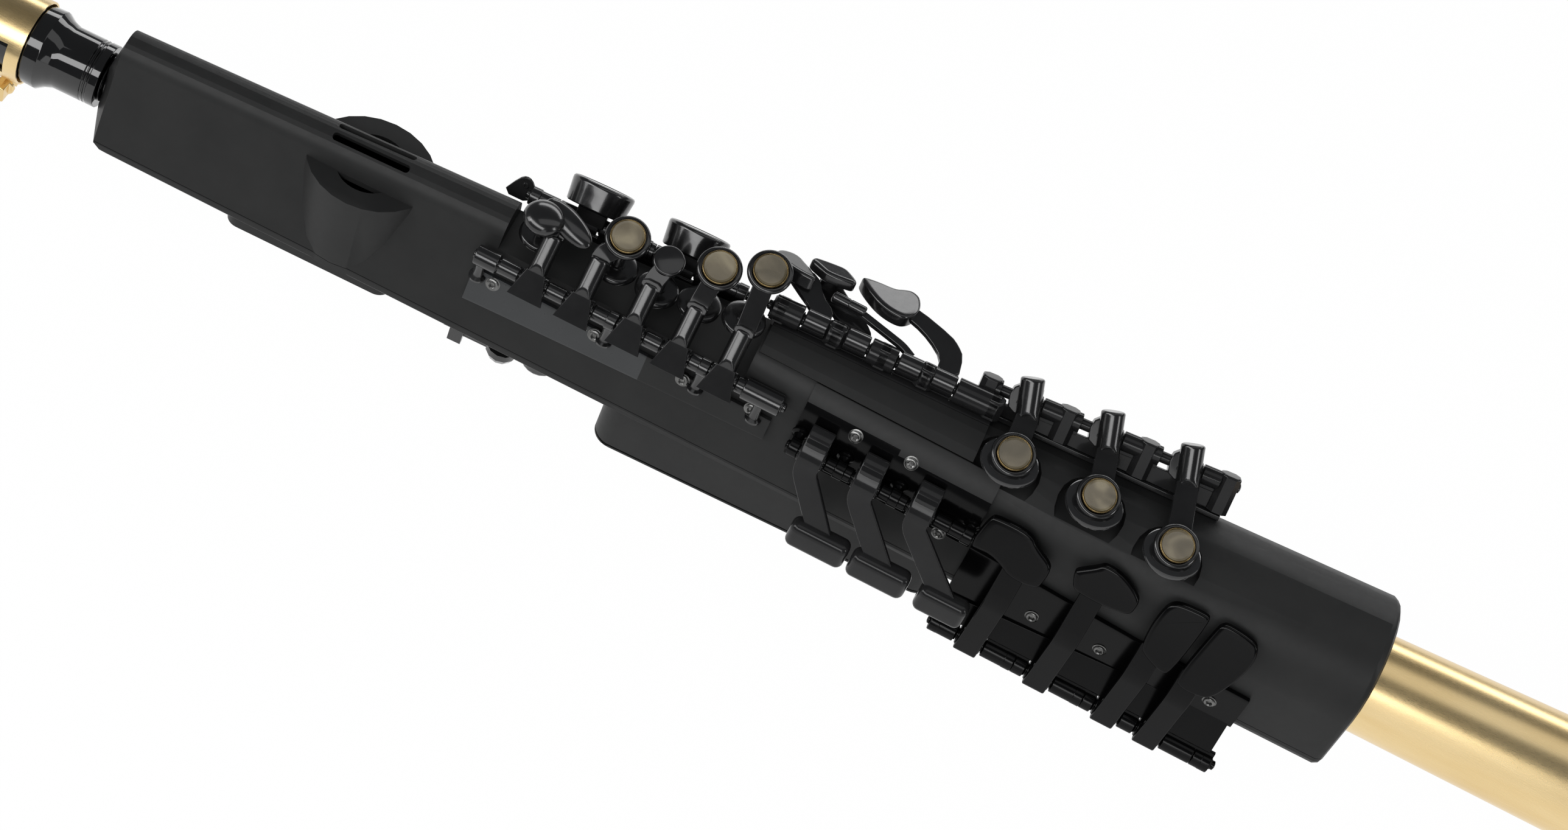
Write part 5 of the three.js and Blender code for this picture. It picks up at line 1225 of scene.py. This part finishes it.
# Floor, lights and world
def floor():
    """The ground: pale in its own light, white to the camera and in reflections."""
    size, white_share = 6, .99
    bm = bmesh.new()
    bmesh.ops.create_grid(bm, x_segments=4, y_segments=4, size=size)
    obj = bpy.data.objects.new("floor", mesh_of(bm, "floor"))
    bpy.context.collection.objects.link(obj)
    m = bpy.data.materials.new("pale_floor")
    m.use_nodes = True
    nt = m.node_tree
    p = nt.nodes["Principled BSDF"]
    p.inputs["Base Color"].default_value = (.86, .86, .86, 1)
    p.inputs["Roughness"].default_value = .9
    p.inputs["Specular IOR Level"].default_value = .1
    glow = nt.nodes.new("ShaderNodeEmission")
    glow.inputs["Color"].default_value = (1, 1, 1, 1)
    path = nt.nodes.new("ShaderNodeLightPath")
    seen = nt.nodes.new("ShaderNodeMath")
    seen.operation = "MAXIMUM"
    link(nt, path, "Is Camera Ray", seen, 0)
    link(nt, path, "Is Glossy Ray", seen, 1)
    part = nt.nodes.new("ShaderNodeMath")
    part.operation = "MULTIPLY"
    part.inputs[1].default_value = white_share
    link(nt, seen, 0, part, 0)
    mix = nt.nodes.new("ShaderNodeMixShader")
    link(nt, part, 0, mix, 0)
    link(nt, p, 0, mix, 1)
    link(nt, glow, 0, mix, 2)
    link(nt, mix, 0, nt.nodes["Material Output"], "Surface")
    obj.data.materials.append(m)


# Each light: its name, place, aim, width, height and power
LIGHTS = [
    ("front", (-.46, -.95, .9), (-.02, 0, .06), 2.1, .42, 15),
    ("back", (.1, 1.7, .8), (0, 0, .05), 2.4, .5, 13),
    ("left_end", (-1.35, -.45, .6), (0, 0, .05), .5, .6, 4),
    ("right_end", (1.35, -.3, .6), (.1, 0, .05), .3, .6, 2.5),
    ("bell_top", (.54, .12, .95), (.34, 0, .05), .5, 2.2, 2.5),
    ("bell_front", (.42, -1.1, .3), (.32, 0, .05), .5, .5, .8),
]


def softbox(name, place, aim, width, height, power):
    data = bpy.data.lights.new(name, "AREA")
    data.shape = "RECTANGLE"
    data.size = width
    data.size_y = height
    data.energy = power
    obj = bpy.data.objects.new(name, data)
    obj.location = place
    obj.rotation_euler = (Vector(aim) - Vector(place)).to_track_quat("-Z", "Y").to_euler()
    bpy.context.collection.objects.link(obj)


def surround():
    world = bpy.data.worlds.new("studio")
    bpy.context.scene.world = world
    world.use_nodes = True
    back = world.node_tree.nodes["Background"]
    back.inputs["Color"].default_value = (.92, .95, 1, 1)
    back.inputs["Strength"].default_value = .14


floor()
for light in LIGHTS:
    softbox(*light)
surround()
